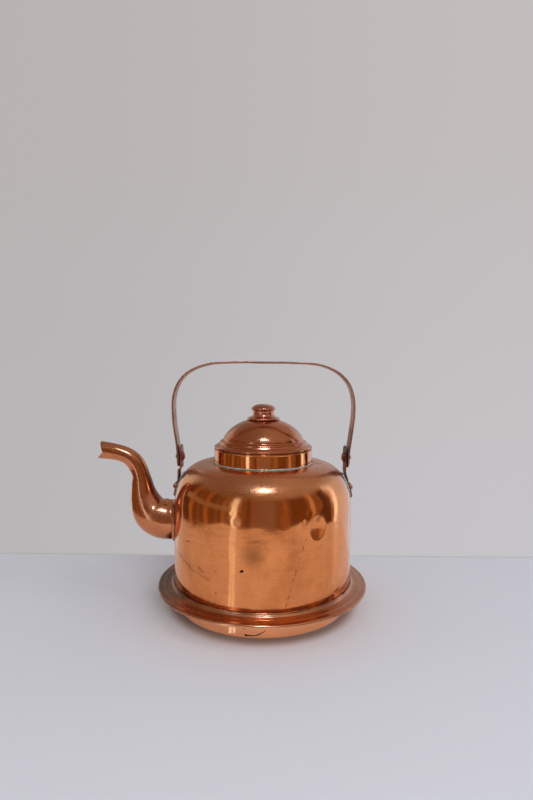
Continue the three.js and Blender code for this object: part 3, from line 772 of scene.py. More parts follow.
class Shader:
    """A short way to write a node material."""

    def __init__(self, name):
        self.material = bpy.data.materials.new(name)
        self.material.use_nodes = True
        self.tree = self.material.node_tree
        self.surface = self.tree.nodes["Principled BSDF"]
        self.place = self.node("ShaderNodeTexCoord").outputs["Object"]

    def node(self, kind, inputs=None, **settings):
        made = self.tree.nodes.new(kind)
        for key, value in settings.items():
            setattr(made, key, value)
        for key, value in (inputs or {}).items():
            self.put(made.inputs[key], value)
        return made

    def put(self, socket, value):
        if isinstance(value, bpy.types.NodeSocket):
            self.tree.links.new(value, socket)
        else:
            socket.default_value = value

    def set(self, **values):
        """Sets or links the shader's own sockets, with _ for a space in their names."""
        for name, value in values.items():
            self.put(self.surface.inputs[name.replace("_", " ")], value)

    def math(self, operation, a, b=0.0, clamp=False):
        made = self.node("ShaderNodeMath", {0: a, 1: b}, operation=operation, use_clamp=clamp)
        return made.outputs[0]

    def times(self, a, b):
        return self.math("MULTIPLY", a, b)

    def plus(self, a, b, clamp=False):
        return self.math("ADD", a, b, clamp)

    def noise(self, scale, detail=3.0, rough=0.55, stretch=None, distort=0.0):
        place = self.place
        if stretch:
            mapping = self.node("ShaderNodeMapping", {"Vector": place, "Scale": stretch})
            place = mapping.outputs[0]
        made = self.node("ShaderNodeTexNoise", {
            "Vector": place, "Scale": scale, "Detail": detail, "Roughness": rough,
            "Distortion": distort})
        return made.outputs["Fac"]

    def ramp(self, value, low, high, start=0.0, end=1.0):
        """value from low..high to start..end, clamped and smooth."""
        made = self.node("ShaderNodeMapRange", {
            "Value": value, "From Min": low, "From Max": high, "To Min": start, "To Max": end},
            interpolation_type="SMOOTHSTEP")
        return made.outputs[0]

    def mix(self, share, a, b):
        made = self.node("ShaderNodeMix", data_type="RGBA")
        self.put(made.inputs["Factor"], share)
        self.put(made.inputs["A"], color(a))
        self.put(made.inputs["B"], color(b))
        return made.outputs["Result"]

    def spot(self, centre, radius, soft=0.5, ragged=0.0):
        """1 inside a ball round a point in millimetres, 0 outside."""
        place = self.ragged(ragged) if ragged else self.place
        centre = [c + ragged / 2 for c in centre]
        away = self.node("ShaderNodeVectorMath", {
            0: place, 1: tuple(c * MM for c in centre)}, operation="DISTANCE")
        inner = radius * (1 - soft) * MM
        return self.ramp(away.outputs["Value"], inner, radius * MM, 1.0, 0.0)

    def stroke(self, start, end, width, soft=0.5, ragged=0.0):
        """1 along a line between two points in millimetres, 0 beyond its half width."""
        place = self.ragged(ragged) if ragged else self.place
        shift = ragged / 2
        a = Vector([c + shift for c in start]) * MM
        b = Vector([c + shift for c in end]) * MM
        way = b - a
        from_a = self.node("ShaderNodeVectorMath", {0: place, 1: tuple(a)}, operation="SUBTRACT")
        along = self.node("ShaderNodeVectorMath", {
            0: from_a.outputs[0], 1: tuple(way / way.length_squared)}, operation="DOT_PRODUCT")
        share = self.plus(along.outputs["Value"], 0.0, True)
        nearest = self.node("ShaderNodeVectorMath", {0: tuple(way)}, operation="SCALE")
        self.put(nearest.inputs["Scale"], share)
        away = self.node("ShaderNodeVectorMath", {
            0: from_a.outputs[0], 1: nearest.outputs[0]}, operation="DISTANCE")
        return self.ramp(away.outputs["Value"], width * (1 - soft) * MM, width * MM, 1.0, 0.0)

    def ragged(self, amount):
        """The place moved by fine noise of up to that many millimetres."""
        fine = self.node("ShaderNodeTexNoise", {"Vector": self.place, "Scale": 700.0})
        shift = self.node("ShaderNodeVectorMath", {
            0: fine.outputs["Color"], 1: (amount * MM,) * 3}, operation="MULTIPLY")
        moved = self.node("ShaderNodeVectorMath", {
            0: self.place, 1: shift.outputs[0]}, operation="ADD")
        return moved.outputs[0]

    def strongest(self, masks):
        result = masks[0]
        for mask in masks[1:]:
            result = self.math("MAXIMUM", result, mask)
        return result

    def polar(self):
        """Distance from the axis and height, in millimetres."""
        parts = self.node("ShaderNodeSeparateXYZ", {0: self.place})
        x, y = parts.outputs["X"], parts.outputs["Y"]
        squares = self.plus(self.times(x, x), self.times(y, y))
        radius = self.times(self.math("SQRT", squares), 1000.0)
        return radius, self.times(parts.outputs["Z"], 1000.0)

    def glow(self, tone):
        """Makes the material give off light and returns it."""
        light = self.node("ShaderNodeEmission", {"Color": color(tone), "Strength": 1.0})
        self.put(self.tree.nodes["Material Output"].inputs["Surface"], light.outputs[0])
        return self.material

    def bump(self, layers):
        """Bump from (height, distance in metres) layers, one on the other."""
        normal = None
        for height, distance in layers:
            made = self.node("ShaderNodeBump", {"Height": height, "Distance": distance})
            if normal:
                self.put(made.inputs["Normal"], normal)
            normal = made.outputs["Normal"]
        self.set(Normal=normal)


def color(value):
    """A colour with its alpha, or a socket as it is."""
    return (*value, 1.0) if isinstance(value, tuple) and len(value) == 3 else value


VERDIGRIS = (0.09, 0.19, 0.18)
VERDIGRIS_PALE = (0.38, 0.52, 0.52)
# near-black for soot, pits and grime, also used as painted shade at the pan's foot
SOOT_AND_SHADE = (0.035, 0.018, 0.012)
# brown of real stains, also used for a painted dark reflection on the body's front
STAIN_AND_DARK_REFLECTION = (0.22, 0.065, 0.02)
RUBBED = (1.0, 0.55, 0.32)
BRIM_FILM = (0.50, 0.205, 0.11)
BRIM_WORN = (0.14, 0.055, 0.03)
SPOUT_INNER_SHADE = (0.17, 0.05, 0.02)
BAIL_LEG = (0.30, 0.15, 0.11)
COAT_ROUGHNESS = 0.36
COAT_IOR = 1.6


def copper(name, bright, tarnish, rough=0.16, patchy=0.5, scratches=0.5, spots=(), strokes=(),
           stains=(), extra=None, haze=0.1):
    """Aged, rubbed copper: tone patches, a brown film, fine lines round the piece, pits, dark
    spots and strokes, and brown stains. haze is the strength of the dull coat over it.
    extra(shader, colour, roughness) may add to it and returns both."""
    s = Shader(name)
    s.set(Metallic=1.0, Coat_Weight=haze, Coat_Roughness=COAT_ROUGHNESS, Coat_IOR=COAT_IOR)
    broad = s.noise(16.0, 4.0, 0.6, distort=0.4)
    cloudy = s.noise(75.0, 5.0, 0.6)
    grain = s.noise(900.0, 3.0, 0.6)
    lines = s.noise(1.0, 4.0, 0.7, stretch=(22.0, 22.0, 1900.0))
    rubbed = s.noise(1.0, 3.0, 0.6, stretch=(90.0, 90.0, 420.0))
    film = s.times(s.ramp(broad, 0.42, 0.72), patchy)
    film = s.plus(film, s.times(s.ramp(cloudy, 0.5, 0.78), patchy * 0.5), True)
    tone = s.mix(film, bright, tarnish)
    tone = s.mix(s.ramp(lines, 0.52, 0.72, 0.0, 0.22 * scratches), tone, RUBBED)
    tone = s.mix(s.ramp(lines, 0.48, 0.3, 0.0, 0.25 * scratches), tone, tarnish)
    tone = s.mix(s.ramp(rubbed, 0.52, 0.75, 0.0, 0.5 * patchy), tone, tarnish)
    pitted = s.ramp(s.noise(260.0, 2.0, 0.4), 0.74, 0.8, 0.0, 0.75)
    if stains:
        brown = s.strongest([s.stroke(*stain) for stain in stains])
        tone = s.mix(s.times(brown, 0.58), tone, STAIN_AND_DARK_REFLECTION)
    masks = [pitted] + [s.spot(*spot) for spot in spots] + [s.stroke(*line) for line in strokes]
    dark = s.strongest(masks)
    tone = s.mix(dark, tone, SOOT_AND_SHADE)
    roughness = s.plus(s.ramp(cloudy, 0.35, 0.75, rough * 0.75, rough * 1.45),
                       s.ramp(lines, 0.55, 0.8, 0.0, 0.1 * scratches))
    roughness = s.plus(roughness, s.times(film, 0.08))
    roughness = s.plus(roughness, s.times(dark, 0.35), True)
    if extra:
        tone, roughness = extra(s, tone, roughness)
    s.set(Base_Color=tone, Roughness=roughness)
    s.bump([(broad, 0.0004), (cloudy, 0.00003), (lines, 0.000006 * scratches),
            (s.math("SUBTRACT", grain, dark), 0.000004)])
    return s.material


def body_extra(s, tone, roughness):
    """Verdigris and a stain round the collar and under the lugs, grime over the seam, and a painted
    dark reflection on the front of the wall.
    """
    radius, z = s.polar()
    ragged = s.times(s.noise(120.0, 4.0), 5.0)
    ring = s.ramp(s.plus(radius, s.times(ragged, -1.0)),
                  COLLAR_R - 2.4, COLLAR_R + 0.6, 1.0, 0.0)
    ring = s.times(ring, s.ramp(z, BODY_TOP - 3, BODY_TOP - 1.5))
    stain = s.times(s.spot((COLLAR_R + 3, -8, BODY_TOP), 9, 0.9, 6), 0.55)
    green = s.strongest([ring, stain])
    pale = s.mix(s.noise(300.0, 3.0), VERDIGRIS, VERDIGRIS_PALE)
    tone = s.mix(green, tone, pale)
    seam = s.ramp(z, UPSTAND_TOP + 0.1, UPSTAND_TOP + 1.3, 0.7, 0.0)
    grime = s.times(seam, s.ramp(s.noise(40.0, 4.0), 0.45, 0.6))
    tone = s.mix(grime, tone, SOOT_AND_SHADE)
    dull = s.ramp(z, SHOULDER_Z + 24, BODY_TOP - 7)
    tone = s.mix(s.times(dull, 0.35), tone, DULL)
    # painted dark reflection: a dark patch on the front of the body, in the stain colour
    tone = s.mix(s.times(s.spot((-7, -88, 76), 15, 0.95, 4), 0.62), tone, STAIN_AND_DARK_REFLECTION)
    roughness = s.plus(roughness, s.times(dull, 0.16))
    roughness = s.plus(roughness, s.times(green, 0.5), True)
    s.set(Metallic=s.math("SUBTRACT", 1.0, green, True))
    return tone, roughness


def base_extra(s, tone, roughness):
    """A dull brown film on the brim's top, worn bare at the front and darkest at the left, a
    painted contact shadow darkening the pan's foot next to the table, and grime at the seam."""
    radius, z = s.polar()
    top = s.ramp(z, BRIM_TOP - 7, BRIM_TOP - 4)
    out = s.ramp(radius, BODY_R - 1, BODY_R + 1)
    film = s.times(s.times(top, out), s.ramp(s.noise(30.0, 4.0), 0.3, 0.6, 0.6, 0.95))
    bare = s.times(s.spot((8, -100, 22), 66, 0.9, 6), -0.85)
    film = s.times(film, s.plus(bare, 1.0))
    tone = s.mix(film, tone, BRIM_FILM)
    worn = s.times(s.spot((-108, -20, 22), 75, 0.5, 6), film)
    tone = s.mix(worn, tone, BRIM_WORN)
    # painted contact shadow: the pan's foot darkened towards the table
    tone = s.mix(s.ramp(z, 0.6, 2.8, 0.85, 0.0), tone, SOOT_AND_SHADE)
    roughness = s.plus(roughness, s.times(film, 0.16))
    return seam_extra(BODY_R + 0.6, 1.2)(s, tone, roughness)


def spout_extra(s, tone, roughness):
    """Painted shade down the spout's inner side, which faces the body, a dark mouth, and grime
    round its root ring.
    """
    # painted shade on the riser's side that faces the body
    inner = s.stroke((-108, 0, 98), (-113, 0, 132), 10.5, 0.7)
    tone = s.mix(s.times(inner, 0.8), tone, SPOUT_INNER_SHADE)
    roughness = s.plus(roughness, s.times(inner, 0.12))
    mouth = s.strongest([s.stroke((-171, y, 149), (-165, y, 160), 3.4, 0.8, 2.0)
                         for y in (-8, 0, 8)])
    tone = s.mix(s.times(mouth, 0.8), tone, SOOT_AND_SHADE)
    return seam_extra(BODY_R + GAP + 2.6, 0.7)(s, tone, roughness)


def handle_extra(s, tone, roughness):
    """The bail is darker low down on its legs."""
    _, z = s.polar()
    low = s.ramp(z, PIVOT_Z + 8, PIVOT_Z + 48, 0.75, 0.0)
    return s.mix(low, tone, BAIL_LEG), roughness


def seam_extra(radius_at, width):
    """Dark grime along a circle of the turned piece at that radius, in millimetres."""
    def add(s, tone, roughness):
        radius, _ = s.polar()
        away = s.math("ABSOLUTE", s.math("SUBTRACT", radius, radius_at))
        near = s.ramp(away, 0.1, width, 0.7, 0.0)
        grime = s.times(near, s.ramp(s.noise(50.0, 4.0), 0.42, 0.62))
        tone = s.mix(grime, tone, SOOT_AND_SHADE)
        return tone, s.plus(roughness, s.times(grime, 0.3), True)
    return add


def plain(name, low, high, metallic, rough, bump=0.00015, scale=200.0):
    """A rough, mottled surface, such as a crust, solder or a tin lining."""
    s = Shader(name)
    mottle = s.noise(scale, 5.0, 0.65)
    s.set(Metallic=metallic, Base_Color=s.mix(s.ramp(mottle, 0.35, 0.65), low, high),
          Roughness=s.ramp(mottle, 0.2, 0.8, rough * 0.8, min(rough * 1.2, 1)))
    s.bump([(mottle, bump)])
    return s.material


def drip(top, bottom, dashes, width):
    """The dashes of an old drip down the body, between two (angle, height) places."""
    strokes = []
    for i in range(dashes):
        share = min(max((i + 0.7 * uneven(i * 2.3, 3, 0)) / (dashes - 1), 0), 1)
        angle = top[0] + (bottom[0] - top[0]) * share ** 0.9
        z = top[1] + (bottom[1] - top[1]) * share
        length = 0.9 + 1.8 * abs(uneven(i * 1.7, 0.4, 0))
        strokes.append((on_body(angle + 0.35, z + length), on_body(angle - 0.35, z - length),
                        width * (0.7 + 0.35 * (i * 5 % 3)), 0.9, 1.4))
    return strokes


# ------------------------------------------------------------------ assembly

def finish_piece(obj, material, slot, body, *nodes, inside=None):
    """Gives a piece its material and body, and hides the CAD nodes it stands for. slot is not used.
    inside is a second material and a test of (centre, normal) for the faces that take it."""
    obj.data.materials.clear()
    obj.data.materials.append(material)
    if inside:
        obj.data.materials.append(inside[0])
        for face in obj.data.polygons:
            if inside[1](face.center / MM, face.normal):
                face.material_index = 1
    if nodes:
        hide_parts(*nodes)
    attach(obj, body)
    return obj


def facing_axis(centre, normal):
    """Whether a face looks in towards the axis."""
    return centre.x * normal.x + centre.y * normal.y < 0


BRIGHT = (0.85, 0.31, 0.105)
TARNISH = (0.55, 0.17, 0.045)
DULL = (0.56, 0.24, 0.13)

# spots are (centre, radius, softness, raggedness), strokes (start, end, width and the same)
body_spots = [(on_body(-11, 62.2), 1.5, 0.3, 0.6), (on_body(-11.9, 61.8), 1.2, 0.3, 0.6),
              (on_body(-49.5, 27.5), 1.6, 0.4, 0.8), (on_body(-66, 112), 1.8, 0.5, 1.2)]
body_strokes = [(on_body(-52, 78), on_body(-48, 79), 0.5, 0.6, 0.5),
                (on_body(48, 33), on_body(54, 35), 0.5, 0.7, 0.6),
                (on_body(44, 30), on_body(38, 27.6), 0.5, 0.7, 0.8),
                (on_body(46, 31.5), on_body(49, 29), 0.4, 0.7, 0.6),
                (on_body(-34, 26.2), on_body(-14, 26.2), 0.5, 0.8, 0.8),
                (on_body(8, 26.2), on_body(30, 26.4), 0.4, 0.8, 0.8)]
body_stains = drip((25.5, 88), (14, 32), 9, 0.95) + [
    (on_body(-64, 78), on_body(-59, 80), 0.6, 0.7, 0.6),
    (on_body(-62, 62), on_body(-47, 55), 2.6, 0.95, 7.0),
    (on_body(-50, 56), on_body(-32, 50), 1.9, 0.95, 6.0),
    (on_body(-40, 58), on_body(-36, 55), 2.2, 0.95, 5.0),
    (on_body(34, 104), on_body(38, 112), 3.5, 0.9, 3.0)]
pan_spots = [((-13.5, -84.2, 4.4), 1.3, 0.4, 0.8), ((-15, -84.6, 10.8), 0.9, 0.5, 0.6),
             ((-64, -58, 24.3), 1.4, 0.4, 0.6), ((16, -85, 11), 0.7, 0.5, 0.6)]
pan_strokes = [((-13, -84.4, 4.2), (-6, -84.6, 4.2), 0.75, 0.4, 0.4),
               ((-6, -84.6, 4.2), (-1, -85.2, 6.2), 0.7, 0.4, 0.4),
               ((-1, -85.2, 6.2), (3.5, -85.4, 8.8), 0.45, 0.4, 0.4),
               ((-95, -32, 23), (-91, -36, 23), 0.5, 0.6, 1.0),
               ((-97, -22, 23), (-94, -30, 23), 0.4, 0.6, 1.5)]

spout_spots = [((-133, -5.5, 127), 1.8, 0.8, 1.5), ((-131, -7, 137), 1.6, 0.7, 1.0),
               ((-112, -19, 70), 1.2, 0.6, 0.8), ((-123, -7, 118), 1.1, 0.7, 1.0)]
lid_spots = [((9, -31, 178.5), 1.5, 0.8, 1.8), ((14, -30.5, 177), 1.1, 0.8, 1.4)]

tin = plain("tin_lining", (0.30, 0.28, 0.26), (0.46, 0.44, 0.42), 0.9, 0.45, 0.00005, 120.0)
crust = plain("verdigris_crust", VERDIGRIS, VERDIGRIS_PALE, 0.0, 0.85, 0.0003, 900.0)
solder = plain("old_solder", (0.10, 0.045, 0.03), (0.30, 0.13, 0.08), 0.8, 0.45, 0.0002, 500.0)
body_copper = copper("body_copper", BRIGHT, TARNISH, rough=0.1, patchy=0.6, scratches=1.0,
                     spots=body_spots, strokes=body_strokes, stains=body_stains,
                     extra=body_extra)
base_copper = copper("base_copper", (0.97, 0.45, 0.22), (0.66, 0.28, 0.13), rough=0.15,
                     patchy=0.35, scratches=0.6, spots=pan_spots, strokes=pan_strokes,
                     extra=base_extra)
collar_copper = copper("collar_copper", (0.84, 0.32, 0.11), (0.6, 0.2, 0.06), rough=0.09,
                       patchy=0.3, scratches=0.5)
spout_copper = copper("spout_copper", (0.68, 0.25, 0.11), (0.40, 0.14, 0.055), rough=0.21,
                      patchy=0.5, scratches=0.3, spots=spout_spots, extra=spout_extra)
lid_copper = copper("lid_copper", (0.60, 0.205, 0.085), (0.36, 0.115, 0.045), rough=0.2,
                    patchy=0.3, scratches=0.2, spots=lid_spots, extra=seam_extra(16.6, 1.0))
knob_copper = copper("knob_copper", (0.70, 0.30, 0.18), (0.40, 0.14, 0.07), rough=0.27,
                     patchy=0.7, scratches=0.5)
handle_copper = copper("handle_copper", (0.70, 0.36, 0.24), (0.32, 0.14, 0.08), rough=0.36,
                       patchy=0.75, scratches=0.3, extra=handle_extra)
lug_copper = copper("lug_copper", (0.44, 0.18, 0.11), (0.12, 0.05, 0.035), rough=0.42,
                    patchy=0.9, scratches=0.3)
rivet_copper = copper("rivet_copper", (0.60, 0.26, 0.16), (0.25, 0.10, 0.06), rough=0.38,
                      patchy=0.8, scratches=0.2)


def inside_pan(centre, normal):
    """Whether a face of the base is part of the pan's tinned inside."""
    return (math.hypot(centre.x, centre.y) < PAN_TOP_R - 0.5 and centre.z > 0.8
            and (normal.z > 0.5 or facing_axis(centre, normal)))


def under_lid(centre, normal):
    """Whether a face of the lid is part of its tinned underside."""
    return (math.hypot(centre.x, centre.y) < COLLAR_R - 2.2
            and (facing_axis(centre, normal) or normal.z < -0.5))


finish_piece(body_shell(), body_copper, "body_copper", "kettle", "body_shell",
             inside=(tin, facing_axis))
finish_piece(base_pan(), base_copper, "base_copper", "kettle", "base_pan",
             inside=(tin, inside_pan))
finish_piece(neck_collar(), collar_copper, "collar_copper", "kettle", "neck_collar",
             inside=(tin, facing_axis))
finish_piece(spout(), spout_copper, "spout_copper", "kettle", "spout")
finish_piece(solder_ring(), solder, "fastener_copper", "kettle")
finish_piece(ring_bead("collar_verdigris", COLLAR_R + 0.5, COLLAR_FOOT + 0.2, 0.42), crust,
             "collar_copper", "kettle")

for side, word, kink in ((-1, "left", 2.4), (1, "right", 0.0)):
    finish_piece(lug(f"lug_{word}_fine", side, kink), lug_copper, "lug_copper", "kettle",
                 f"lug_{word}")
    finish_piece(lug_crust(f"lug_crust_{word}", side), crust, "lug_copper", "kettle")
    for spot, y in (("front", -RIVET_Y), ("back", RIVET_Y)):
        name = f"lug_rivet_{word}_{spot}"
        piece = rivet(name + "_fine", 1.8, (2.9, 2.2), (3, 1.2), -1.95, 2.1,
                      rivet_frame(side, side * y), len(name) + y)
        finish_piece(piece, rivet_copper, "fastener_copper", "kettle", name)
    piece = rivet(f"pivot_rivet_{word}_fine", 2, (2.8, 2.4), (3.6, 1.1), WASHER_X - GAP,
                  HANDLE_X + HANDLE_THICK / 2 + GAP, to_side(moved_to(0, 0, PIVOT_Z), side), side)
    finish_piece(piece, rivet_copper, "fastener_copper", "kettle", f"pivot_rivet_{word}")
    finish_piece(washer(f"pivot_washer_{word}_fine", side), rivet_copper, "fastener_copper",
                 "kettle", f"pivot_washer_{word}")

finish_piece(handle(), handle_copper, "handle_copper", "bail", "handle")
finish_piece(lid_dome(), lid_copper, "lid_copper", "lid", "lid_dome", inside=(tin, under_lid))
for make, material, slot in ((lid_sleeve, tin, "tinned_copper"),
                             (lid_knob, knob_copper, "knob_copper"),
                             (knob_washer, rivet_copper, "fastener_copper"),
                             (knob_rivet, rivet_copper, "fastener_copper")):
    finish_piece(make(), material, slot, "lid", make.__name__)


# ------------------------------------------------------------------ stage, light and camera

def staged(name, corners, material, seen=True, reflected=True):
    """A flat stage piece from its corners in millimetres, seen by the camera, in reflections
    or both."""
    mesh = bpy.data.meshes.new(name)
    mesh.from_pydata([tuple(c * MM for c in corner) for corner in corners], [],
                     [tuple(range(len(corners)))])
    mesh.materials.append(material)
    obj = bpy.data.objects.new(name, mesh)
    bpy.context.scene.collection.objects.link(obj)
    obj.visible_camera = seen
    obj.visible_diffuse = seen
    obj.visible_shadow = seen
    obj.visible_glossy = reflected
    return obj


def table_material(name, light, shade, painted_shade_strength):
    """A smooth table top with painted shading round the kettle: a painted warm shadow tinted as by
    the copper's glow, and close in a painted brown contact shadow and reflection of the pan. The
    last argument sets how strong both are.
    """
    s = Shader(name)
    tone = s.mix(s.noise(6.0, 2.0), light, shade)
    radius, _ = s.polar()
    # painted warm shadow and copper glow on the table round the kettle
    painted_warm_shade = s.ramp(radius, 96, 165, painted_shade_strength, 0.0)
    tone = s.mix(painted_warm_shade, tone, TABLE_PAINTED_WARM_SHADE)
    # painted contact shadow and reflection of the pan, a brown ring at the kettle's foot
    painted_contact_shadow = s.ramp(radius, 85, 99, painted_shade_strength * 2.4, 0.0)
    tone = s.mix(painted_contact_shadow, tone, TABLE_PAINTED_CONTACT_SHADOW)
    s.set(Base_Color=tone, Roughness=0.3, Specular_IOR_Level=0.35)
    return s.material


def table_top(name, side, front, z, material, seen):
    """A flat top back to the wall, for the camera or for reflections."""
    corners = [(-side, front, z), (side, front, z), (side, TABLE_BACK, z), (-side, TABLE_BACK, z)]
    staged(name, corners, material, seen, not seen)


# painted tones on the table: a warm shadow round the kettle and a brown contact shadow at its foot
TABLE_PAINTED_WARM_SHADE = (0.72, 0.64, 0.60)
TABLE_PAINTED_CONTACT_SHADOW = (0.26, 0.15, 0.10)
TABLE_BACK = 129
TABLE_FRONT = -394
TABLE_SIDE = 400
FLOOR_REACH = 3000

table = table_material("pale_table", (0.68, 0.70, 0.76), (0.66, 0.68, 0.74), 0.35)
# a copy of the table painted lighter than the one the camera sees, so the copper shows a painted
# brighter reflection of it
brightened_reflected_table = table_material("brightened_mirrored_table", (0.84, 0.82, 0.84), (0.80, 0.78, 0.80), 0.0)
table_top("floor", FLOOR_REACH, -FLOOR_REACH, -0.2, table, True)
table_top("table_reflected", TABLE_SIDE, TABLE_FRONT, -0.1, brightened_reflected_table, False)

# What the copper mirrors beyond the table is a dim room. Each row of ROOM is degrees from the
# front towards the right where a tone starts, then that tone.
LEFT_WALL = (0.66, 0.70, 0.70)
RIGHT_WALL = (0.70, 0.80, 0.95)
BACK_WALL = (0.50, 0.50, 0.52)
BACK_LEFT = (0.33, 0.31, 0.30)
DARK = (0.17, 0.085, 0.028)
DARKEST = (0.11, 0.05, 0.016)
FRAME = (0.36, 0.20, 0.085)
LIT_FRAME = (0.58, 0.42, 0.28)
BROWN = (0.24, 0.14, 0.07)
MAUVE = (0.27, 0.20, 0.18)
DAYLIGHT = (1.3, 1.7, 2.3)
ROOM = [
    (-180, BACK_LEFT), (-152, LEFT_WALL), (-119, DARKEST), (-104, FRAME), (-97, DARK), (-88, BROWN),
    (-84, DARK), (-76, FRAME), (-70, DARK), (-61, BROWN), (-56, DARK), (-51, FRAME), (-45, BROWN),
    (-38.5, DAYLIGHT), (-31, FRAME), (-27, BROWN), (-20, DARK), (-15, MAUVE), (-13, FRAME),
    (-11, MAUVE), (15, BROWN), (25, FRAME), (30, BROWN), (34, DARK), (54, BROWN), (60, LIT_FRAME),
    (65, BROWN), (78, DARKEST), (94, FRAME), (98, DAYLIGHT), (104.5, RIGHT_WALL), (152, BACK_WALL),
]
ROOM_RADIUS = 1400
EYE_LEVEL = 100
WINDOW_TOP = 33  # degrees above eye level
TRANSOM = (6, 12)
TRANSOM_TONE = (0.32, 0.26, 0.2)
CEILING_LEFT = (0.27, 0.22, 0.19)
CEILING_RIGHT = (0.44, 0.40, 0.38)


def room():
    """A tall drum round the scene that shows only in reflections."""
    around = 96
    rings = [(ROOM_RADIUS, -1500), (ROOM_RADIUS, 1500), (700, 2100), (1, 2300)]
    turns = np.linspace(0, 2 * math.pi, around, endpoint=False)
    points = [(r * math.sin(t), -r * math.cos(t), z) for r, z in rings for t in turns]
    obj = link("room", points, grid_faces(len(rings), around, False, True), 180)
    s = Shader("room")
    parts = s.node("ShaderNodeSeparateXYZ", {0: s.place})
    front = s.times(parts.outputs["Y"], -1.0)
    turn = s.math("ARCTAN2", parts.outputs["X"], front)
    share = s.plus(s.math("DIVIDE", turn, 2 * math.pi), 0.5)
    stops = s.node("ShaderNodeValToRGB", {0: share})
    stops.color_ramp.interpolation = "CONSTANT"
    elements = stops.color_ramp.elements
    while len(elements) < len(ROOM):
        elements.new(0.5)
    for element, (degrees, tone) in zip(elements, ROOM):
        element.position = degrees / 360 + 0.5
        element.color = (*tone, 1)

    def height(elevation):
        return (EYE_LEVEL + ROOM_RADIUS * math.tan(math.radians(elevation))) * MM

    z = parts.outputs["Z"]
    bar = s.times(s.ramp(z, height(TRANSOM[0] - 1), height(TRANSOM[0])),
                 s.ramp(z, height(TRANSOM[1]), height(TRANSOM[1] + 1), 1.0, 0.0))
    left = s.times(s.math("LESS_THAN", turn, math.radians(-41)),
                  s.math("GREATER_THAN", turn, math.radians(-112)))
    tone = s.mix(s.times(bar, left), stops.outputs["Color"], TRANSOM_TONE)
    upward = s.ramp(z, height(WINDOW_TOP - 7), height(WINDOW_TOP + 5))
    ceiling = s.mix(s.ramp(parts.outputs["X"], -0.9, 0.7), CEILING_LEFT, CEILING_RIGHT)
    obj.data.materials.append(s.glow(s.mix(upward, tone, ceiling)))
    for flag in ("camera", "diffuse", "shadow", "transmission", "volume_scatter"):
        setattr(obj, f"visible_{flag}", False)


WALL_Y = 2000
WALL_FOOT = -656  # what the camera sees of the wall just over the table's back edge


def wall():
    """The pale wall behind the table, a glowing backdrop with painted shading: a painted shadow
    along its foot where it meets the table, and painted light fall-off that leaves it darker
    towards the left.
    """
    s = Shader("wall")
    parts = s.node("ShaderNodeSeparateXYZ", {0: s.place})
    # painted light fall-off: darker towards the left, and a little darker and warmer higher up
    across = s.ramp(parts.outputs["X"], -1.3, 1.3)
    foot_z = WALL_FOOT * MM
    up = s.ramp(parts.outputs["Z"], foot_z, foot_z + 2.2)
    low = s.mix(across, (0.485, 0.470, 0.480), (0.565, 0.550, 0.570))
    high = s.mix(across, (0.485, 0.452, 0.452), (0.540, 0.505, 0.505))
    tone = s.mix(up, low, high)
    # painted shadow along the wall's foot, where it meets the table
    foot = s.ramp(parts.outputs["Z"], foot_z, foot_z + 0.013, 0.35, 0.0)
    tone = s.mix(foot, tone, (0.33, 0.33, 0.31))
    corners = [(-6000, -3000), (6000, -3000), (6000, 5000), (-6000, 5000)]
    obj = staged("wall", [(x, WALL_Y, z) for x, z in corners], s.glow(tone), True, False)
    obj.visible_diffuse = False
    obj.visible_shadow = False


def streak():
    """The long reflection of a bright doorway in the table, at the front left: two wedges that
    widen from near to far."""
    start = Vector((-30, -86, 0.1))
    turn = math.radians(-37)
    along = Vector((math.sin(turn), -math.cos(turn), 0))
    aside = Vector((along.y, -along.x, 0))
    near, far, length, half = 3.4, 21.0, 330, 0.42
    for word, offset in (("a", -0.62), ("b", 0.55)):
        left, right = offset - half, offset + half
        corners = [start + aside * near * left, start + aside * near * right,
                   start + along * length + aside * far * right,
                   start + along * length + aside * far * left]
        name = f"streak_{word}"
        staged(name, corners, Shader(name).glow((1.0, 1.12, 1.3)), False, True)


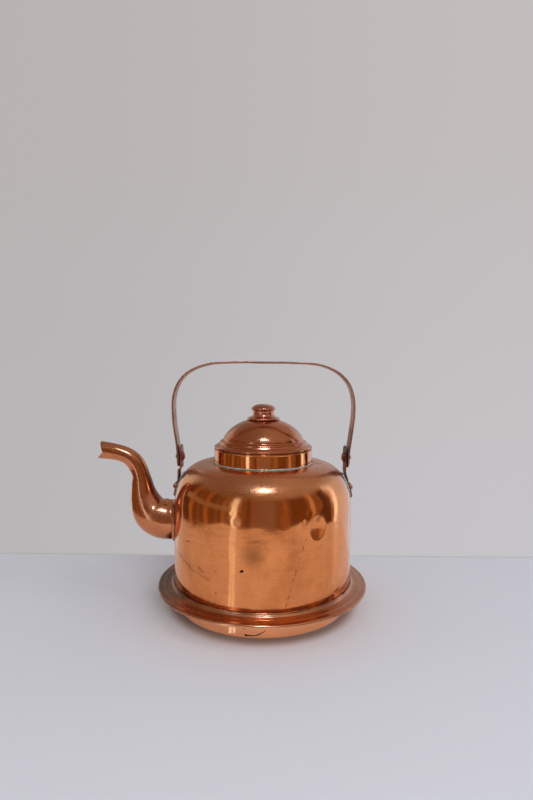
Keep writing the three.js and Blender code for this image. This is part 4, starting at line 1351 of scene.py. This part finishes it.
def softbox(name, azimuth, elevation, distance, size, power, tint=None):
    """An area light aimed at the kettle's shoulder, from degrees round the front and up. Only
    one with a tint shows in reflections."""
    data = bpy.data.lights.new(name, "AREA")
    data.shape = "RECTANGLE"
    data.size, data.size_y = size
    data.energy = power
    lamp = bpy.data.objects.new(name, data)
    bpy.context.scene.collection.objects.link(lamp)
    turn, rise = math.radians(azimuth), math.radians(elevation)
    way = Vector((math.sin(turn) * math.cos(rise), -math.cos(turn) * math.cos(rise),
                  math.sin(rise)))
    lamp.location = Vector((0, 0, 0.13)) + way * distance
    lamp.rotation_euler = way.to_track_quat("Z", "Y").to_euler()
    lamp.visible_camera = False
    lamp.visible_glossy = bool(tint)
    lamp.visible_diffuse = not tint
    data.color = tint or (1, 1, 1)


def world():
    """An even, pale surround that fills the shadows."""
    scene_world = bpy.data.worlds.new("wall")
    bpy.context.scene.world = scene_world
    scene_world.use_nodes = True
    background = scene_world.node_tree.nodes["Background"]
    background.inputs["Color"].default_value = (0.515, 0.486, 0.490, 1)
    background.inputs["Strength"].default_value = 0.92


room()
wall()
streak()
softbox("softbox_front", azimuth=3, elevation=57, distance=1.1, size=(0.2, 0.12), power=1.9,
        tint=(0.75, 1.05, 1.7))
softbox("fill_front", azimuth=14, elevation=21, distance=2.4, size=(1.6, 0.9), power=42.0)
softbox("fill_right", azimuth=60, elevation=45, distance=2.2, size=(1.2, 1.2), power=7.0)
world()

bpy.context.scene.view_settings.view_transform = "Standard"
bpy.context.scene.view_settings.look = "None"

CAMERA_PLACE = Vector((0.0029, -0.538, 0.234))  # metres
CAMERA_PITCH = 3.03  # degrees down
CAMERA_ROLL = 0.45

lens = bpy.data.cameras.new("camera")
lens.lens = 24
lens.sensor_width = 36
lens.clip_start = 0.01
camera = bpy.data.objects.new("camera", lens)
bpy.context.scene.collection.objects.link(camera)
camera.matrix_world = (Matrix.Translation(CAMERA_PLACE)
                       @ Matrix.Rotation(math.radians(90 - CAMERA_PITCH), 4, "X")
                       @ Matrix.Rotation(math.radians(CAMERA_ROLL), 4, "Z"))
bpy.context.scene.camera = camera
